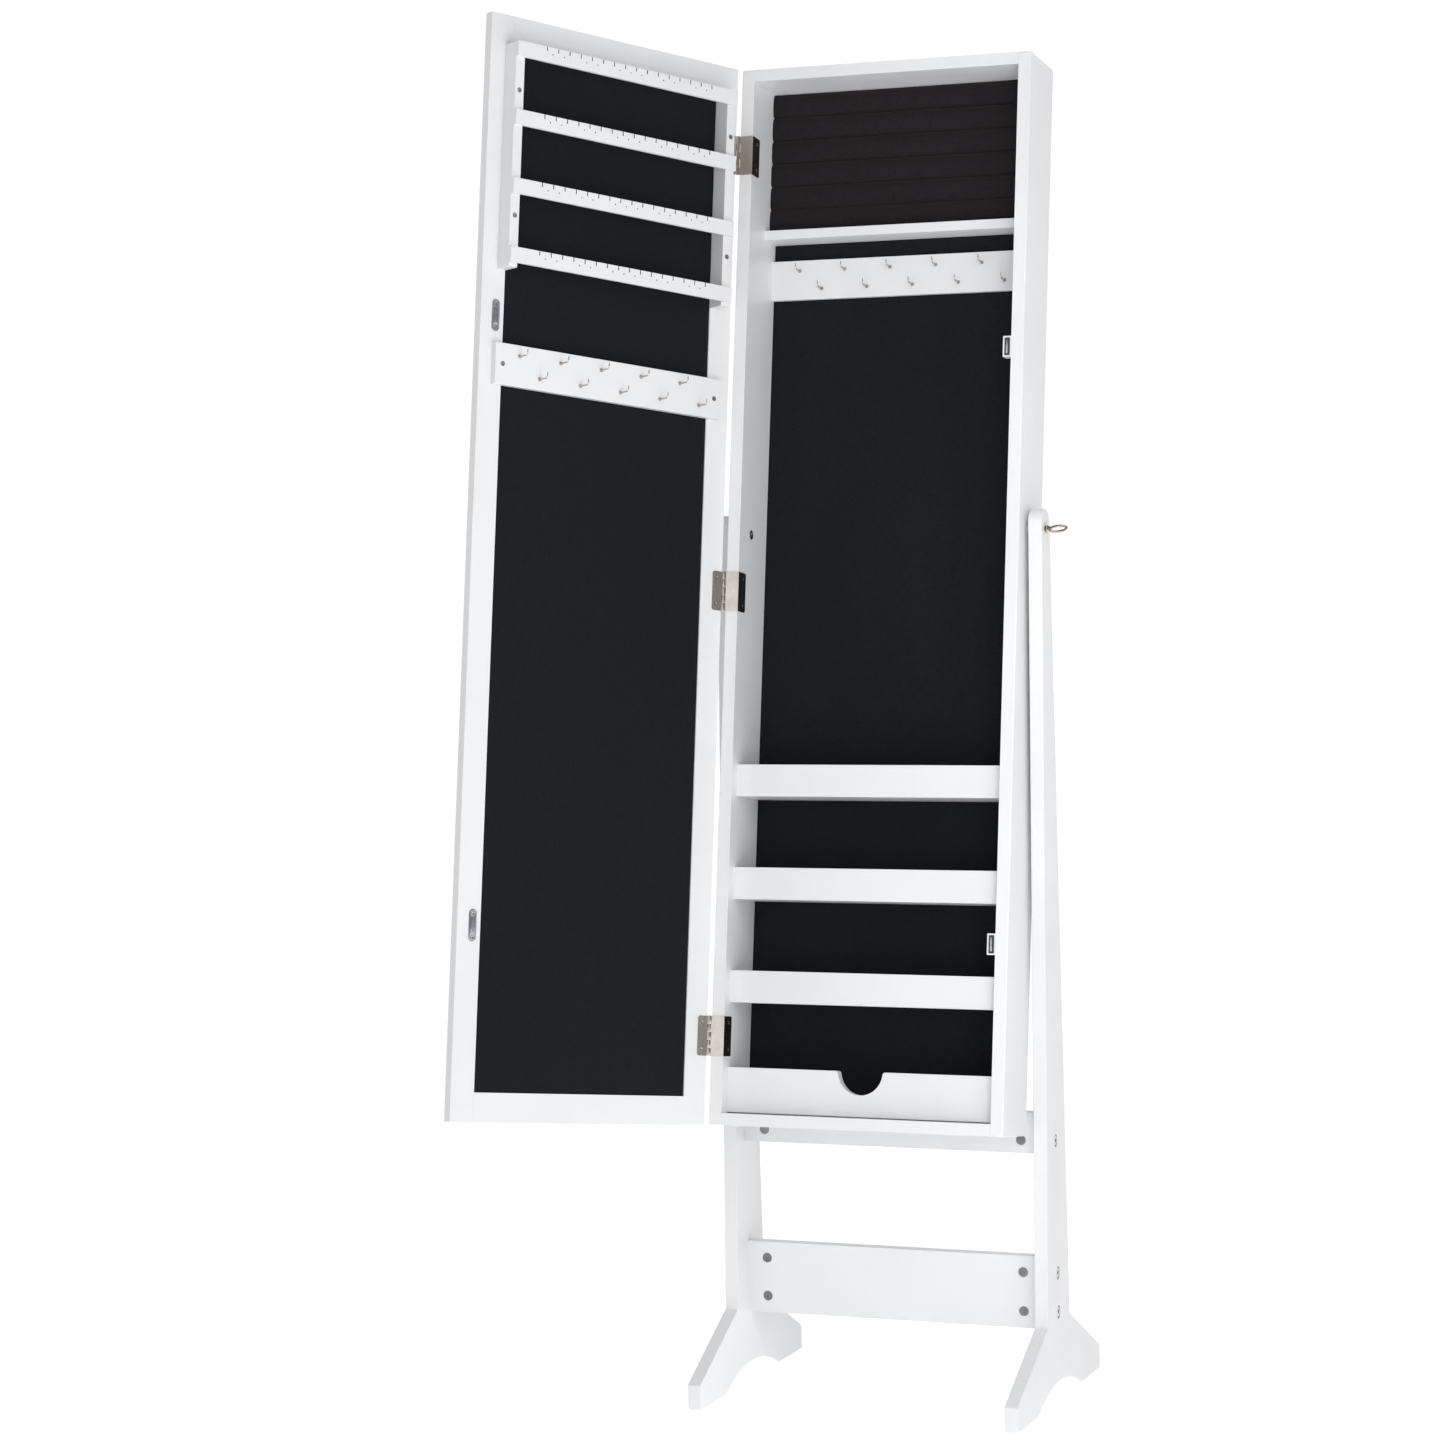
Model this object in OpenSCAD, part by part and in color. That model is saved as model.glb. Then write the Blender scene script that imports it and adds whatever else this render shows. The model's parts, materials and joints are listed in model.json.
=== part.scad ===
// Free-standing jewelry armoire: a shallow cabinet that leans in a two-legged
// stand, with a mirror door hinged on its left side. Millimetres, +Z up, the
// door opens towards -Y. The origin is on the floor, under the middle of the
// armoire's own bounding box with the door open as drawn.

/* [Pose] */
// Lean of the cabinet from upright, top towards the back
lean = 8.5; // [5.5:0.5:15]
// Opening of the door from closed
door_open = 120; // [95:1:145]

/* [Cabinet] */
// Width of the cabinet
cab_w = 354; // [340:1:380]
// Depth of the cabinet without the door
cab_d = 89; // [85:1:100]
// Height of the cabinet
cab_h = 1236; // [1220:1:1260]
// Height of the cabinet's top above the pivot
top_above_pivot = 547; // [530:1:560]
// Distance from the pivot forward to the cabinet's front
front_to_pivot = 35.5; // [34:0.5:44]
// Thickness of the side boards
side_t = 15; // [14:0.5:16]
// Thickness of the top and bottom boards
cap_t = 14; // [13:0.5:16]
// Thickness of the back board
back_t = 2.5; // [2:0.5:4]
// Thickness of the felt linings
felt_t = 1; // [1:0.5:1.5]

/* [Fittings inside the cabinet] */
// Height of the top shelf's underside above the pivot
shelf_z = 354.5; // [345:0.5:360]
// Thickness of the top shelf
shelf_t = 11; // [9:0.5:12]
// Depth of the top shelf
shelf_d = 35; // [32:1:40]
// Thickness of the ring cushion
cushion_t = 24; // [20:1:26]
// Height of the hook rails' lower edge above the pivot, in the cabinet
hook_rail_z = 287; // [270:1:295]
// Height of both hook rails
hook_rail_h = 47; // [44:1:50]
// Thickness of the cabinet's hook rail
hook_rail_t = 6; // [5:0.5:9]
// Height of the shelf lips
lip_h = 37; // [34:1:42]
// Thickness of the shelf lips
lip_t = 12; // [10:1:12]
// How far the lips stand back from the cabinet's front
lip_setback = 17.5; // [15:0.5:22]
// Depth of the first lip's upper edge under the pivot
lip_drop = 271.5; // [260:0.5:280]
// Distance from one lip to the next
lip_pitch = 119.5; // [115:0.5:121]
// Thickness of the lower shelves
low_shelf_t = 9; // [7:1:10]
// Height of the lowest front board
low_front_h = 51.5; // [48:0.5:54]
// Radius of the finger notch in the lowest front board
notch_r = 27; // [22:1:30]

/* [Door] */
// Thickness of the door
door_t = 12; // [12:0.5:15]
// Width of the door's stiles
stile_w = 31; // [28:1:34]
// Width of the door's top and bottom rails
door_rail_w = 33; // [30:1:36]
// Height of the door's hook bar above the pivot
door_bar_z = 128; // [115:1:135]
// Length of the door's hook bar
door_bar_w = 320; // [316:1:321]
// Thickness of the door's hook bar
door_bar_t = 8; // [6:0.5:10]

/* [Earring rack] */
// Width across the rack's side boards
rack_w = 314; // [306:1:316]
// Depth of the rack's side boards
rack_d = 22; // [18:1:24]
// Thickness of the rack's side boards
rack_side_t = 12; // [10:1:12]
// Height of the rack's lower end above the pivot
rack_z = 258.5; // [254:0.5:262]
// Height of one slotted bar
bar_h = 17.5; // [16:0.5:19]
// Thickness of one slotted bar
bar_t = 4; // [3:0.5:5]
// Distance from one bar to the next
bar_pitch = 77.7; // [76:0.1:78]

/* [Stand] */
// Height of the pivot above the floor
pivot_h = 1003; // [1000:1:1040]
// Distance between the legs' inner faces
leg_gap = 364; // [364:1:392]
// Thickness of the legs
leg_t = 16; // [15:1:18]
// Length of the feet from front to back
foot_l = 334; // [320:1:350]
// Height of the feet's blunt ends
foot_end_h = 29; // [24:1:34]
// Height where the legs flare out into the feet
flare_z = 92; // [88:1:100]
// Width of the legs at the flare
leg_low_w = 88; // [80:1:92]
// Width of the legs at the pivot
leg_top_w = 33; // [31:1:36]
// Length of the arch under the feet
arch_l = 172; // [160:1:180]
// Rise of the arch under the feet
arch_h = 22; // [16:1:26]
// Thickness of the stand's rails
rail_t = 16; // [14:1:18]
// Height of the lower rail's underside
low_rail_z = 83; // [80:1:90]
// Height of the lower rail
low_rail_h = 84; // [78:1:88]
// Height of the upper rail's underside
up_rail_z = 286.5; // [280:0.5:290]
// Height of the upper rail
up_rail_h = 47; // [40:1:48]

/* [Hidden] */
$fn = 48;

// Clearances
run_clear = 0.05;
slip_clear = 0.4;
gap = 0.3;

// Cabinet, in its own frame: origin on the pivot axis
cab_left = -cab_w / 2;
cab_right = cab_w / 2;
cab_front = -front_to_pivot;
cab_back = cab_front + cab_d;
cab_top = top_above_pivot;
cab_bottom = cab_top - cab_h;
inner_w = cab_w - 2 * side_t;
inner_top = cab_top - cap_t;
inner_bottom = cab_bottom + cap_t;
felt_y = cab_back - back_t - felt_t;
lip_y = cab_front + lip_setback;
low_front_gap = 1.3;
low_front_top = inner_bottom + low_front_gap + low_front_h;
notch_corner_r = 3;

// Hooks
hook_r = 1;
hook_reach = 15;
hook_tip = 5.5;
hook_bend_r = 2.5;
hook_collar_r = 2.2;
hook_collar_t = 1.6;
hook_count = 10;
hook_pitch = 28.3;
hook_row = 11;

// Screws
screw_r = 1.5;
screw_head_r = 3;
screw_head_t = 1;
screw_len = 9;
screw_bite = 8;
recess_w = 0.8;
recess_d = 0.6;
recess_l = 4;

// Hinge: pin axis outside the cabinet's front left edge
leaf_gap = 2.6;
pin_out = 2;
pin_r = 0.9;
knuckle_r = 2;
knuckles = 5;
leaf_h = 46;
leaf_t = 1;
leaf_w = 14.5;
leaf_root = 2.35;
leaf_corner_r = 3;
wrap_depth = 23;
leaf_hole_z = 15.5;
leaf_hole_share = 0.6;
hinge_inset = 102;
hinge_x = cab_left - pin_out;
hinge_y = cab_front - leaf_gap / 2;
cab_mid_z = (cab_top + cab_bottom) / 2;
hinge_z = [cab_top - hinge_inset, cab_mid_z, cab_bottom + hinge_inset];

// Door, closed, in a frame with its origin on the hinge axis
door_in = -leaf_gap / 2;
door_out = door_in - door_t;
door_left = pin_out;
door_right = door_left + cab_w;
door_mid = door_left + cab_w / 2;
door_bottom = cab_bottom - 1;
door_top = cab_top + 1;
door_h = door_top - door_bottom;
glass_t = 3;
glass_inset = 0.5;
lining_inset = 1;
panel_w = cab_w - 2 * stile_w;
panel_h = door_h - 2 * door_rail_w;
panel_z = door_bottom + door_rail_w;
backing_t = door_t - glass_t - glass_inset - lining_inset - felt_t;
rack_front = door_in + rack_d;
bar_foot = 5;
rack_h = bar_foot + 3 * bar_pitch + bar_h;
bar_front = rack_front + bar_t;
door_bar_front = door_in + door_bar_t;
door_bar_screw_x = 150;
door_bar_screw_len = door_bar_t + screw_bite;
rack_screw_z = [58.5, 200.5];
rack_screw_len = rack_d + screw_bite;

// Earring slots, counted along one bar
slot_count = 16;
slot_pitch = 15.7;
slot_w = 1.2;
slot_depth = 5;
stud_hole_r = 0.75;
stud_hole_drop = 8;
// Slot intervals that also have a hole for a stud earring
stud_gaps = [0, 1, 3, 4, 6, 7, 8, 10, 11, 13, 14];

// Magnetic catches and strike plates
catch_w = 10;
catch_d = 14;
catch_h = 24;
catch_z = [206, -474];
catch_setback = 1;
catch_rim = 1.6;
magnet_w = catch_w - 2 * catch_rim;
magnet_h = catch_h - 2 * catch_rim;
magnet_d = 8;
magnet_sunk = 1.5;
pole_w = 2.4;
pole_h = 16;
pole_proud = 0.3;
strike_w = 10;
strike_h = 36;
strike_t = 1.2;
strike_boss_w = 5;
strike_boss_h = 15;
strike_boss_t = 0.8;
strike_screw_z = 13;
strike_x = door_left + cab_w - side_t - catch_w / 2;

// Stand
leg_in = leg_gap / 2;
leg_out = leg_in + leg_t;
leg_crown_r = leg_top_w / 2;
leg_above_pivot = 23;
leg_crown_z = pivot_h + leg_above_pivot - leg_crown_r;
arch_r = (pow(arch_l / 2, 2) + pow(arch_h, 2)) / (2 * arch_h);
bolt_r = 3;
bolt_clear = 0.2;
bolt_head_r = 6.3;
bolt_head_t = 2.6;
bolt_recess_r = 7.4;
bolt_sunk = 3.4;
bolt_socket_r = 2.3;
bolt_socket_d = 2.2;
bolt_in = 30;
nut_r = 5.7;
nut_clear = 0.1;
nut_len = 14;
nut_inset = 24;
up_bolt_rise = 15;
low_bolt_rise = [19.5, 65];
up_bolts = [up_rail_z + up_bolt_rise];
low_bolts = [for (rise = low_bolt_rise) low_rail_z + rise];
bolt_z = concat(up_bolts, low_bolts);

// Pivot hardware
screw_shaft_r = 3;
insert_r = 4.6;
insert_flange_r = 5.8;
insert_flange_t = 1.2;
spacer_r = 9;
spacer_t = leg_in - cab_right - gap;
washer_r = 7.5;
washer_t = 1;
collar_r = 4.5;
collar_t = 4;
ring_r = 9.5;
ring_wire_r = 1.6;
ring_roll = 20;

// Bounding box of the whole armoire, for the origin
door_cos = cos(door_open);
door_sin = sin(door_open);
hinge_ahead = hinge_y - door_right * door_sin + door_in * door_cos;
box_left = hinge_x + door_right * door_cos + door_out * door_sin;
box_right = leg_out + washer_t + gap + collar_t + 2 * ring_r + ring_wire_r;
box_front = hinge_ahead * cos(lean) + door_bottom * sin(lean);
box_back = max(foot_l / 2, cab_back * cos(lean) + cab_top * sin(lean));
origin_x = (box_left + box_right) / 2;
origin_y = (box_front + box_back) / 2;

// Colours
lacquer = [0.94, 0.94, 0.95];
felt = [0.12, 0.12, 0.13];
velvet = [0.15, 0.13, 0.14];
nickel = [0.78, 0.72, 0.66];
steel = [0.62, 0.63, 0.65];
plastic = [0.92, 0.92, 0.9];

// ---- Frames ----

// Puts a piece of the stand, drawn about the floor under the pivot, in the part's frame
module on_stand() {
    translate([-origin_x, -origin_y, 0]) children();
}

// Puts a piece of the cabinet, drawn about the pivot, in the part's frame
module on_cabinet() {
    on_stand() translate([0, 0, pivot_h]) rotate([-lean, 0, 0]) children();
}

// Puts a piece of the door, drawn closed about the hinge axis, in the part's frame
module on_door() {
    on_cabinet() translate([hinge_x, hinge_y, 0]) rotate([0, 0, -door_open]) children();
}

// ---- Shapes that repeat ----

// A board between two corners
module board(low, high) {
    translate(low) cube(high - low);
}

// A rod along X, from x0 to x1
module rod_x(x0, x1, r) {
    translate([x0, 0, 0]) rotate([0, 90, 0]) cylinder(h = x1 - x0, r = r);
}

// A rod along Y, from y0 to y1
module rod_y(y0, y1, r) {
    translate([0, y0, 0]) rotate([-90, 0, 0]) cylinder(h = y1 - y0, r = r);
}

// Flat outline w wide and h high about the origin, with corners of radius r
module round_rect(w, h, r) {
    square([w - 2 * r, h], center = true);
    square([w, h - 2 * r], center = true);
    for (x = [-1, 1], z = [-1, 1])
        translate([x * (w / 2 - r), z * (h / 2 - r)]) circle(r = r);
}

// Body of a flat-headed screw along +y, its head flush with y = 0
module screw_body(length) {
    rotate([-90, 0, 0]) cylinder(h = screw_head_t, r1 = screw_head_r, r2 = screw_r);
    rod_y(screw_head_t, length, screw_r);
}

// Flat-headed screw with a cross recess
module flat_screw(length) {
    difference() {
        screw_body(length);
        board([-recess_l / 2, -1, -recess_w / 2], [recess_l / 2, recess_d, recess_w / 2]);
        board([-recess_w / 2, -1, -recess_l / 2], [recess_w / 2, recess_d, recess_l / 2]);
    }
}

// L-shaped hook that stands out of a board along -y and turns up
module cup_hook() {
    rod_y(-hook_collar_t, 0, hook_collar_r);
    rod_y(-hook_reach + hook_bend_r, -hook_collar_t, hook_r);
    translate([0, -hook_reach + hook_bend_r, hook_bend_r]) rotate([0, 90, 0]) rotate([0, 0, -90])
        rotate_extrude(angle = 90) translate([hook_bend_r, 0]) circle(r = hook_r);
    translate([0, -hook_reach, hook_bend_r]) cylinder(h = hook_tip, r = hook_r);
}

// Place of hook k along a hook rail, and its row
function hook_x(k) = (k - (hook_count - 1) / 2) * hook_pitch;
function hook_dz(k) = (k % 2 == 0) ? hook_row : -hook_row;

// A row of hooks on a rail whose centre is at the origin
module hook_row() {
    for (k = [0 : hook_count - 1])
        translate([hook_x(k), 0, hook_dz(k)]) cup_hook();
}

// Hinge-leaf plate from x = 0, w wide and h high, rounded at its far corners
module leaf_plate(w, h, t, r) {
    linear_extrude(t) {
        translate([w / 2, 0]) round_rect(w, h, r);
        translate([0, -h / 2]) square([w / 2, h]);
    }
}

// Knuckles of one leaf about the hinge axis: the first one is number `first`
module leaf_knuckles(first, bore_r, y0) {
    pitch = leaf_h / knuckles;
    for (k = [first : 2 : knuckles - 1])
        translate([0, 0, -leaf_h / 2 + k * pitch + gap / 2]) difference() {
            union() {
                cylinder(h = pitch - gap, r = knuckle_r);
                board([0, y0, 0], [leaf_root, y0 + leaf_t, pitch - gap]);
            }
            translate([0, 0, -1]) cylinder(h = pitch + 2, r = bore_r);
        }
}

// ---- Stand ----

// Outline of a leg: tapered blade, flared foot and round crown, seen from the side
module leg_outline() {
    polygon([
        [-foot_l / 2, 0], [-foot_l / 2, foot_end_h], [-leg_low_w / 2, flare_z],
        [-leg_crown_r, leg_crown_z], [leg_crown_r, leg_crown_z],
        [leg_low_w / 2, flare_z], [foot_l / 2, foot_end_h], [foot_l / 2, 0]
    ]);
    translate([0, leg_crown_z]) circle(r = leg_crown_r);
}

// Right leg, with its arch, pivot hole and counterbored bolt holes
module leg() {
    difference() {
        translate([leg_in, 0, 0]) rotate([90, 0, 90]) linear_extrude(leg_t) difference() {
            leg_outline();
            translate([0, arch_h - arch_r]) circle(r = arch_r, $fn = 160);
        }
        translate([0, 0, pivot_h]) rod_x(leg_in - 1, leg_out + 1, screw_shaft_r + slip_clear);
        for (z = bolt_z) translate([0, 0, z]) {
            rod_x(leg_in - 1, leg_out + 1, bolt_r + bolt_clear);
            rod_x(leg_out - bolt_sunk, leg_out + 1, bolt_recess_r);
        }
    }
}

module leg_left() {
    color(lacquer) on_stand() mirror([1, 0, 0]) leg();
}

module leg_right() {
    color(lacquer) on_stand() leg();
}

// A rail between the legs, with cross-dowel and bolt bores at the given heights
module stand_rail(z0, height, bolts) {
    difference() {
        board([-leg_in, -rail_t / 2, z0], [leg_in, rail_t / 2, z0 + height]);
        for (z = bolts, side = [0, 1]) mirror([side, 0, 0]) translate([0, 0, z]) {
            rod_x(leg_in - bolt_in, leg_in + 1, bolt_r + bolt_clear);
            translate([leg_in - nut_inset, 0, 0])
                rod_y(-rail_t / 2 - 1, -rail_t / 2 + nut_len, nut_r + nut_clear);
        }
    }
}

module upper_rail() {
    color(lacquer) on_stand() stand_rail(up_rail_z, up_rail_h, up_bolts);
}

module lower_rail() {
    color(lacquer) on_stand() stand_rail(low_rail_z, low_rail_h, low_bolts);
}

// Socket-headed connector bolt, lying in a recess of the right leg's outer face
module connector_bolt() {
    seat = leg_out - bolt_sunk;
    difference() {
        union() {
            rod_x(leg_in - bolt_in, seat, bolt_r);
            rod_x(seat, seat + bolt_head_t, bolt_head_r);
        }
        translate([seat + bolt_head_t - bolt_socket_d, 0, 0]) rotate([0, 90, 0])
            cylinder(h = bolt_socket_d + 1, r = bolt_socket_r, $fn = 6);
    }
}

module rail_bolts() {
    color(steel) on_stand() for (z = bolt_z, side = [0, 1])
        mirror([side, 0, 0]) translate([0, 0, z]) connector_bolt();
}

// Cross dowel in the right end of a rail, bored for its bolt
module barrel_nut() {
    difference() {
        translate([leg_in - nut_inset, 0, 0]) rod_y(-rail_t / 2, -rail_t / 2 + nut_len, nut_r);
        rod_x(leg_in - bolt_in - 1, leg_in, bolt_r + run_clear);
    }
}

module barrel_nuts() {
    color(steel) on_stand() for (z = bolt_z, side = [0, 1])
        mirror([side, 0, 0]) translate([0, 0, z]) barrel_nut();
}

// Both ends of the pivot axis at once: draws its children right and mirrored left
module both_pivots() {
    for (side = [0, 1]) mirror([side, 0, 0]) translate([0, 0, pivot_h]) children();
}

module pivot_spacers() {
    color("dimgray") on_stand() both_pivots() difference() {
        rod_x(leg_in - spacer_t, leg_in, spacer_r);
        rod_x(leg_in - spacer_t - 1, leg_in + 1, screw_shaft_r + slip_clear);
    }
}

module pivot_washers() {
    color(nickel) on_stand() both_pivots() difference() {
        rod_x(leg_out, leg_out + washer_t, washer_r);
        rod_x(leg_out - 1, leg_out + washer_t + 1, screw_shaft_r + slip_clear);
    }
}

// Ring-headed thumb screw on the right, about the pivot axis
module thumb_screw() {
    seat = leg_out + washer_t + gap;
    rod_x(cab_right - side_t, seat, screw_shaft_r);
    rod_x(seat, seat + collar_t, collar_r);
    translate([seat + collar_t + ring_r, 0, 0]) rotate([ring_roll, 0, 0])
        rotate_extrude() translate([ring_r, 0]) circle(r = ring_wire_r);
}

module thumb_screw_left() {
    color(nickel) on_stand() translate([0, 0, pivot_h]) mirror([1, 0, 0]) thumb_screw();
}

module thumb_screw_right() {
    color(nickel) on_stand() translate([0, 0, pivot_h]) thumb_screw();
}

// ---- Cabinet ----

// Left side board, with the pivot insert's bore and the hinge screws' bores
module side_left() {
    color(lacquer) on_cabinet() difference() {
        board([cab_left, cab_front, cab_bottom], [cab_left + side_t, cab_back, cab_top]);
        rod_x(cab_left - 1, cab_left + side_t + 1, insert_r);
        cabinet_screw_places() screw_body(screw_len);
    }
}

module side_right() {
    color(lacquer) on_cabinet() difference() {
        board([cab_right - side_t, cab_front, cab_bottom], [cab_right, cab_back, cab_top]);
        rod_x(cab_right - side_t - 1, cab_right + 1, insert_r);
    }
}

// Something as wide as the inside of the cabinet
module inner_board(y0, y1, z0, z1) {
    board([-inner_w / 2, y0, z0], [inner_w / 2, y1, z1]);
}

module top_board() {
    color(lacquer) on_cabinet() inner_board(cab_front, cab_back, inner_top, cab_top);
}

module bottom_board() {
    color(lacquer) on_cabinet() inner_board(cab_front, cab_back, cab_bottom, inner_bottom);
}

module back_board() {
    color(lacquer) on_cabinet() inner_board(cab_back - back_t, cab_back, inner_bottom, inner_top);
}

module back_lining() {
    color(felt) on_cabinet() inner_board(felt_y, felt_y + felt_t, inner_bottom, inner_top);
}

module top_shelf() {
    color(lacquer) on_cabinet() inner_board(felt_y - shelf_d, felt_y, shelf_z, shelf_z + shelf_t);
}

module ring_cushion() {
    color(velvet) on_cabinet() inner_board(felt_y - cushion_t, felt_y, shelf_z + shelf_t, inner_top);
}

module cabinet_hook_rail() {
    color(lacquer) on_cabinet()
        inner_board(felt_y - hook_rail_t, felt_y, hook_rail_z, hook_rail_z + hook_rail_h);
}

module cabinet_hooks() {
    color(nickel) on_cabinet()
        translate([0, felt_y - hook_rail_t, hook_rail_z + hook_rail_h / 2]) hook_row();
}

// Lip number i, counted down, and the shelf behind it
module lip(i) {
    z1 = -lip_drop - i * lip_pitch;
    color(lacquer) on_cabinet() inner_board(lip_y, lip_y + lip_t, z1 - lip_h, z1);
}

module low_shelf(i) {
    z0 = -lip_drop - i * lip_pitch - lip_h;
    color(lacquer) on_cabinet() inner_board(lip_y + lip_t, felt_y, z0, z0 + low_shelf_t);
}

module shelf_upper() { low_shelf(0); }
module shelf_middle() { low_shelf(1); }
module shelf_lower() { low_shelf(2); }
module lip_upper() { lip(0); }
module lip_middle() { lip(1); }
module lip_lower() { lip(2); }

// Outline that takes the finger notch out of a board's upper edge, with eased corners
module notch_outline() {
    circle(r = notch_r);
    difference() {
        translate([-notch_r - notch_corner_r, -notch_corner_r])
            square([2 * (notch_r + notch_corner_r), 2 * notch_corner_r]);
        for (side = [-1, 1])
            translate([side * (notch_r + notch_corner_r), -notch_corner_r]) circle(r = notch_corner_r);
    }
}

module bottom_front() {
    color(lacquer) on_cabinet() difference() {
        inner_board(lip_y, lip_y + lip_t, low_front_top - low_front_h, low_front_top);
        translate([0, lip_y + lip_t + 1, low_front_top]) rotate([90, 0, 0])
            linear_extrude(lip_t + 2) notch_outline();
    }
}

// Threaded inserts for the thumb screws, with a six-sided flange inside the cabinet
module pivot_inserts() {
    flange_x = cab_right - side_t - insert_flange_t;
    color(steel) on_cabinet() for (side = [0, 1]) mirror([side, 0, 0]) difference() {
        union() {
            rod_x(cab_right - side_t, cab_right, insert_r);
            translate([flange_x, 0, 0]) rotate([0, 90, 0])
                cylinder(h = insert_flange_t, r = insert_flange_r, $fn = 6);
        }
        rod_x(flange_x - 1, cab_right + 1, screw_shaft_r + run_clear);
    }
}

// Puts a catch, drawn about the middle of its front face, on the right inner wall
module catch_place(z) {
    translate([cab_right - side_t - catch_w / 2, cab_front + catch_setback, z]) children();
}

module catch_body(z) {
    color(plastic) on_cabinet() catch_place(z) difference() {
        board([-catch_w / 2, 0, -catch_h / 2], [catch_w / 2, catch_d, catch_h / 2]);
        board([-magnet_w / 2, -1, -magnet_h / 2], [magnet_w / 2, magnet_d, magnet_h / 2]);
    }
}

module catch_upper() { catch_body(catch_z[0]); }
module catch_lower() { catch_body(catch_z[1]); }

// Magnet sunk in each catch, with a steel pole bar along its middle
module catch_magnets() {
    color(steel) on_cabinet() for (z = catch_z) catch_place(z) {
        board([-magnet_w / 2, magnet_sunk, -magnet_h / 2], [magnet_w / 2, magnet_d, magnet_h / 2]);
        board([-pole_w / 2, -pole_proud, -pole_h / 2], [pole_w / 2, magnet_sunk + 1, pole_h / 2]);
    }
}

// ---- Hinges ----

// Places of the screws that hold the cabinet leaves, pointing into the left side board
module cabinet_screw_places() {
    for (z = hinge_z, dz = [-leaf_hole_z, leaf_hole_z])
        translate([cab_left + side_t + leaf_t, cab_front + wrap_depth * leaf_hole_share, z + dz])
            rotate([0, 0, 90]) children();
}

// Places of the screws that hold the door leaves, pointing into the hinge stile
module door_screw_places() {
    for (z = hinge_z, dz = [-leaf_hole_z, leaf_hole_z])
        translate([leaf_root + leaf_w * leaf_hole_share, door_in + leaf_t, z + dz])
            rotate([0, 0, 180]) children();
}

// Cabinet leaf: covers the side board's front edge and wraps onto its inner face
module cabinet_leaf(z) {
    y0 = leaf_gap / 2 - leaf_t;
    color(nickel) on_cabinet() difference() {
        translate([hinge_x, hinge_y, z]) {
            leaf_knuckles(0, pin_r, y0);
            board([leaf_root, y0, -leaf_h / 2], [pin_out + side_t + leaf_t, y0 + leaf_t, leaf_h / 2]);
            translate([pin_out + side_t, y0, 0]) rotate([90, 0, 90])
                leaf_plate(wrap_depth, leaf_h, leaf_t, leaf_corner_r);
        }
        cabinet_screw_places() screw_body(screw_len);
    }
}

// Door leaf: flat on the door's inner face
module door_leaf(z) {
    color(nickel) on_door() difference() {
        translate([0, 0, z]) {
            leaf_knuckles(1, pin_r + run_clear, door_in);
            translate([leaf_root, door_in + leaf_t, 0]) rotate([90, 0, 0])
                leaf_plate(leaf_w, leaf_h, leaf_t, leaf_corner_r);
        }
        door_screw_places() screw_body(screw_len);
    }
}

module cabinet_leaf_top() { cabinet_leaf(hinge_z[0]); }
module cabinet_leaf_middle() { cabinet_leaf(hinge_z[1]); }
module cabinet_leaf_bottom() { cabinet_leaf(hinge_z[2]); }
module door_leaf_top() { door_leaf(hinge_z[0]); }
module door_leaf_middle() { door_leaf(hinge_z[1]); }
module door_leaf_bottom() { door_leaf(hinge_z[2]); }

module hinge_pins() {
    color(nickel) on_cabinet() for (z = hinge_z)
        translate([hinge_x, hinge_y, z - leaf_h / 2]) cylinder(h = leaf_h, r = pin_r);
}

module cabinet_hinge_screws() {
    color(nickel) on_cabinet() cabinet_screw_places() flat_screw(screw_len);
}

module door_hinge_screws() {
    color(nickel) on_door() door_screw_places() flat_screw(screw_len);
}

// ---- Door ----

// Places of the screws through the earring rack's side boards
module rack_screw_places() {
    for (side = [-1, 1], z = rack_screw_z)
        translate([door_mid + side * (rack_w - rack_side_t) / 2, rack_front, rack_z + z])
            rotate([0, 0, 180]) children();
}

// Places of the screws at the ends of the door's hook bar
module bar_screw_places() {
    for (side = [-1, 1])
        translate([door_mid + side * door_bar_screw_x, door_bar_front, door_bar_z + hook_rail_h / 2])
            rotate([0, 0, 180]) children();
}

// Places of the screws through the strike plates
module strike_screw_places() {
    for (z = catch_z, dz = [-strike_screw_z, strike_screw_z])
        translate([strike_x, door_in + strike_t, z + dz]) rotate([0, 0, 180]) children();
}

// Bodies of all the screws that enter the door's stiles
module door_screw_bodies() {
    door_screw_places() screw_body(screw_len);
    rack_screw_places() screw_body(rack_screw_len);
    bar_screw_places() screw_body(door_bar_screw_len);
    strike_screw_places() screw_body(screw_len);
}

// Full-height stile from x0, bored for its screws
module stile(x0) {
    color(lacquer) on_door() difference() {
        board([x0, door_out, door_bottom], [x0 + stile_w, door_in, door_top]);
        door_screw_bodies();
    }
}

module door_stile_hinge() { stile(door_left); }
module door_stile_free() { stile(door_right - stile_w); }

// Something as wide and thick as given, between the stiles
module door_panel(y0, y1, z0, z1) {
    board([door_left + stile_w, y0, z0], [door_right - stile_w, y1, z1]);
}

module door_rail_top() {
    color(lacquer) on_door() door_panel(door_out, door_in, door_top - door_rail_w, door_top);
}

module door_rail_bottom() {
    color(lacquer) on_door() door_panel(door_out, door_in, door_bottom, door_bottom + door_rail_w);
}

module mirror_glass() {
    y0 = door_out + glass_inset;
    color("lightsteelblue") on_door() door_panel(y0, y0 + glass_t, panel_z, panel_z + panel_h);
}

module mirror_backing() {
    y0 = door_out + glass_inset + glass_t;
    color("tan") on_door() door_panel(y0, y0 + backing_t, panel_z, panel_z + panel_h);
}

module door_lining() {
    y1 = door_in - lining_inset;
    color(felt) on_door() door_panel(y1 - felt_t, y1, panel_z, panel_z + panel_h);
}

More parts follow.
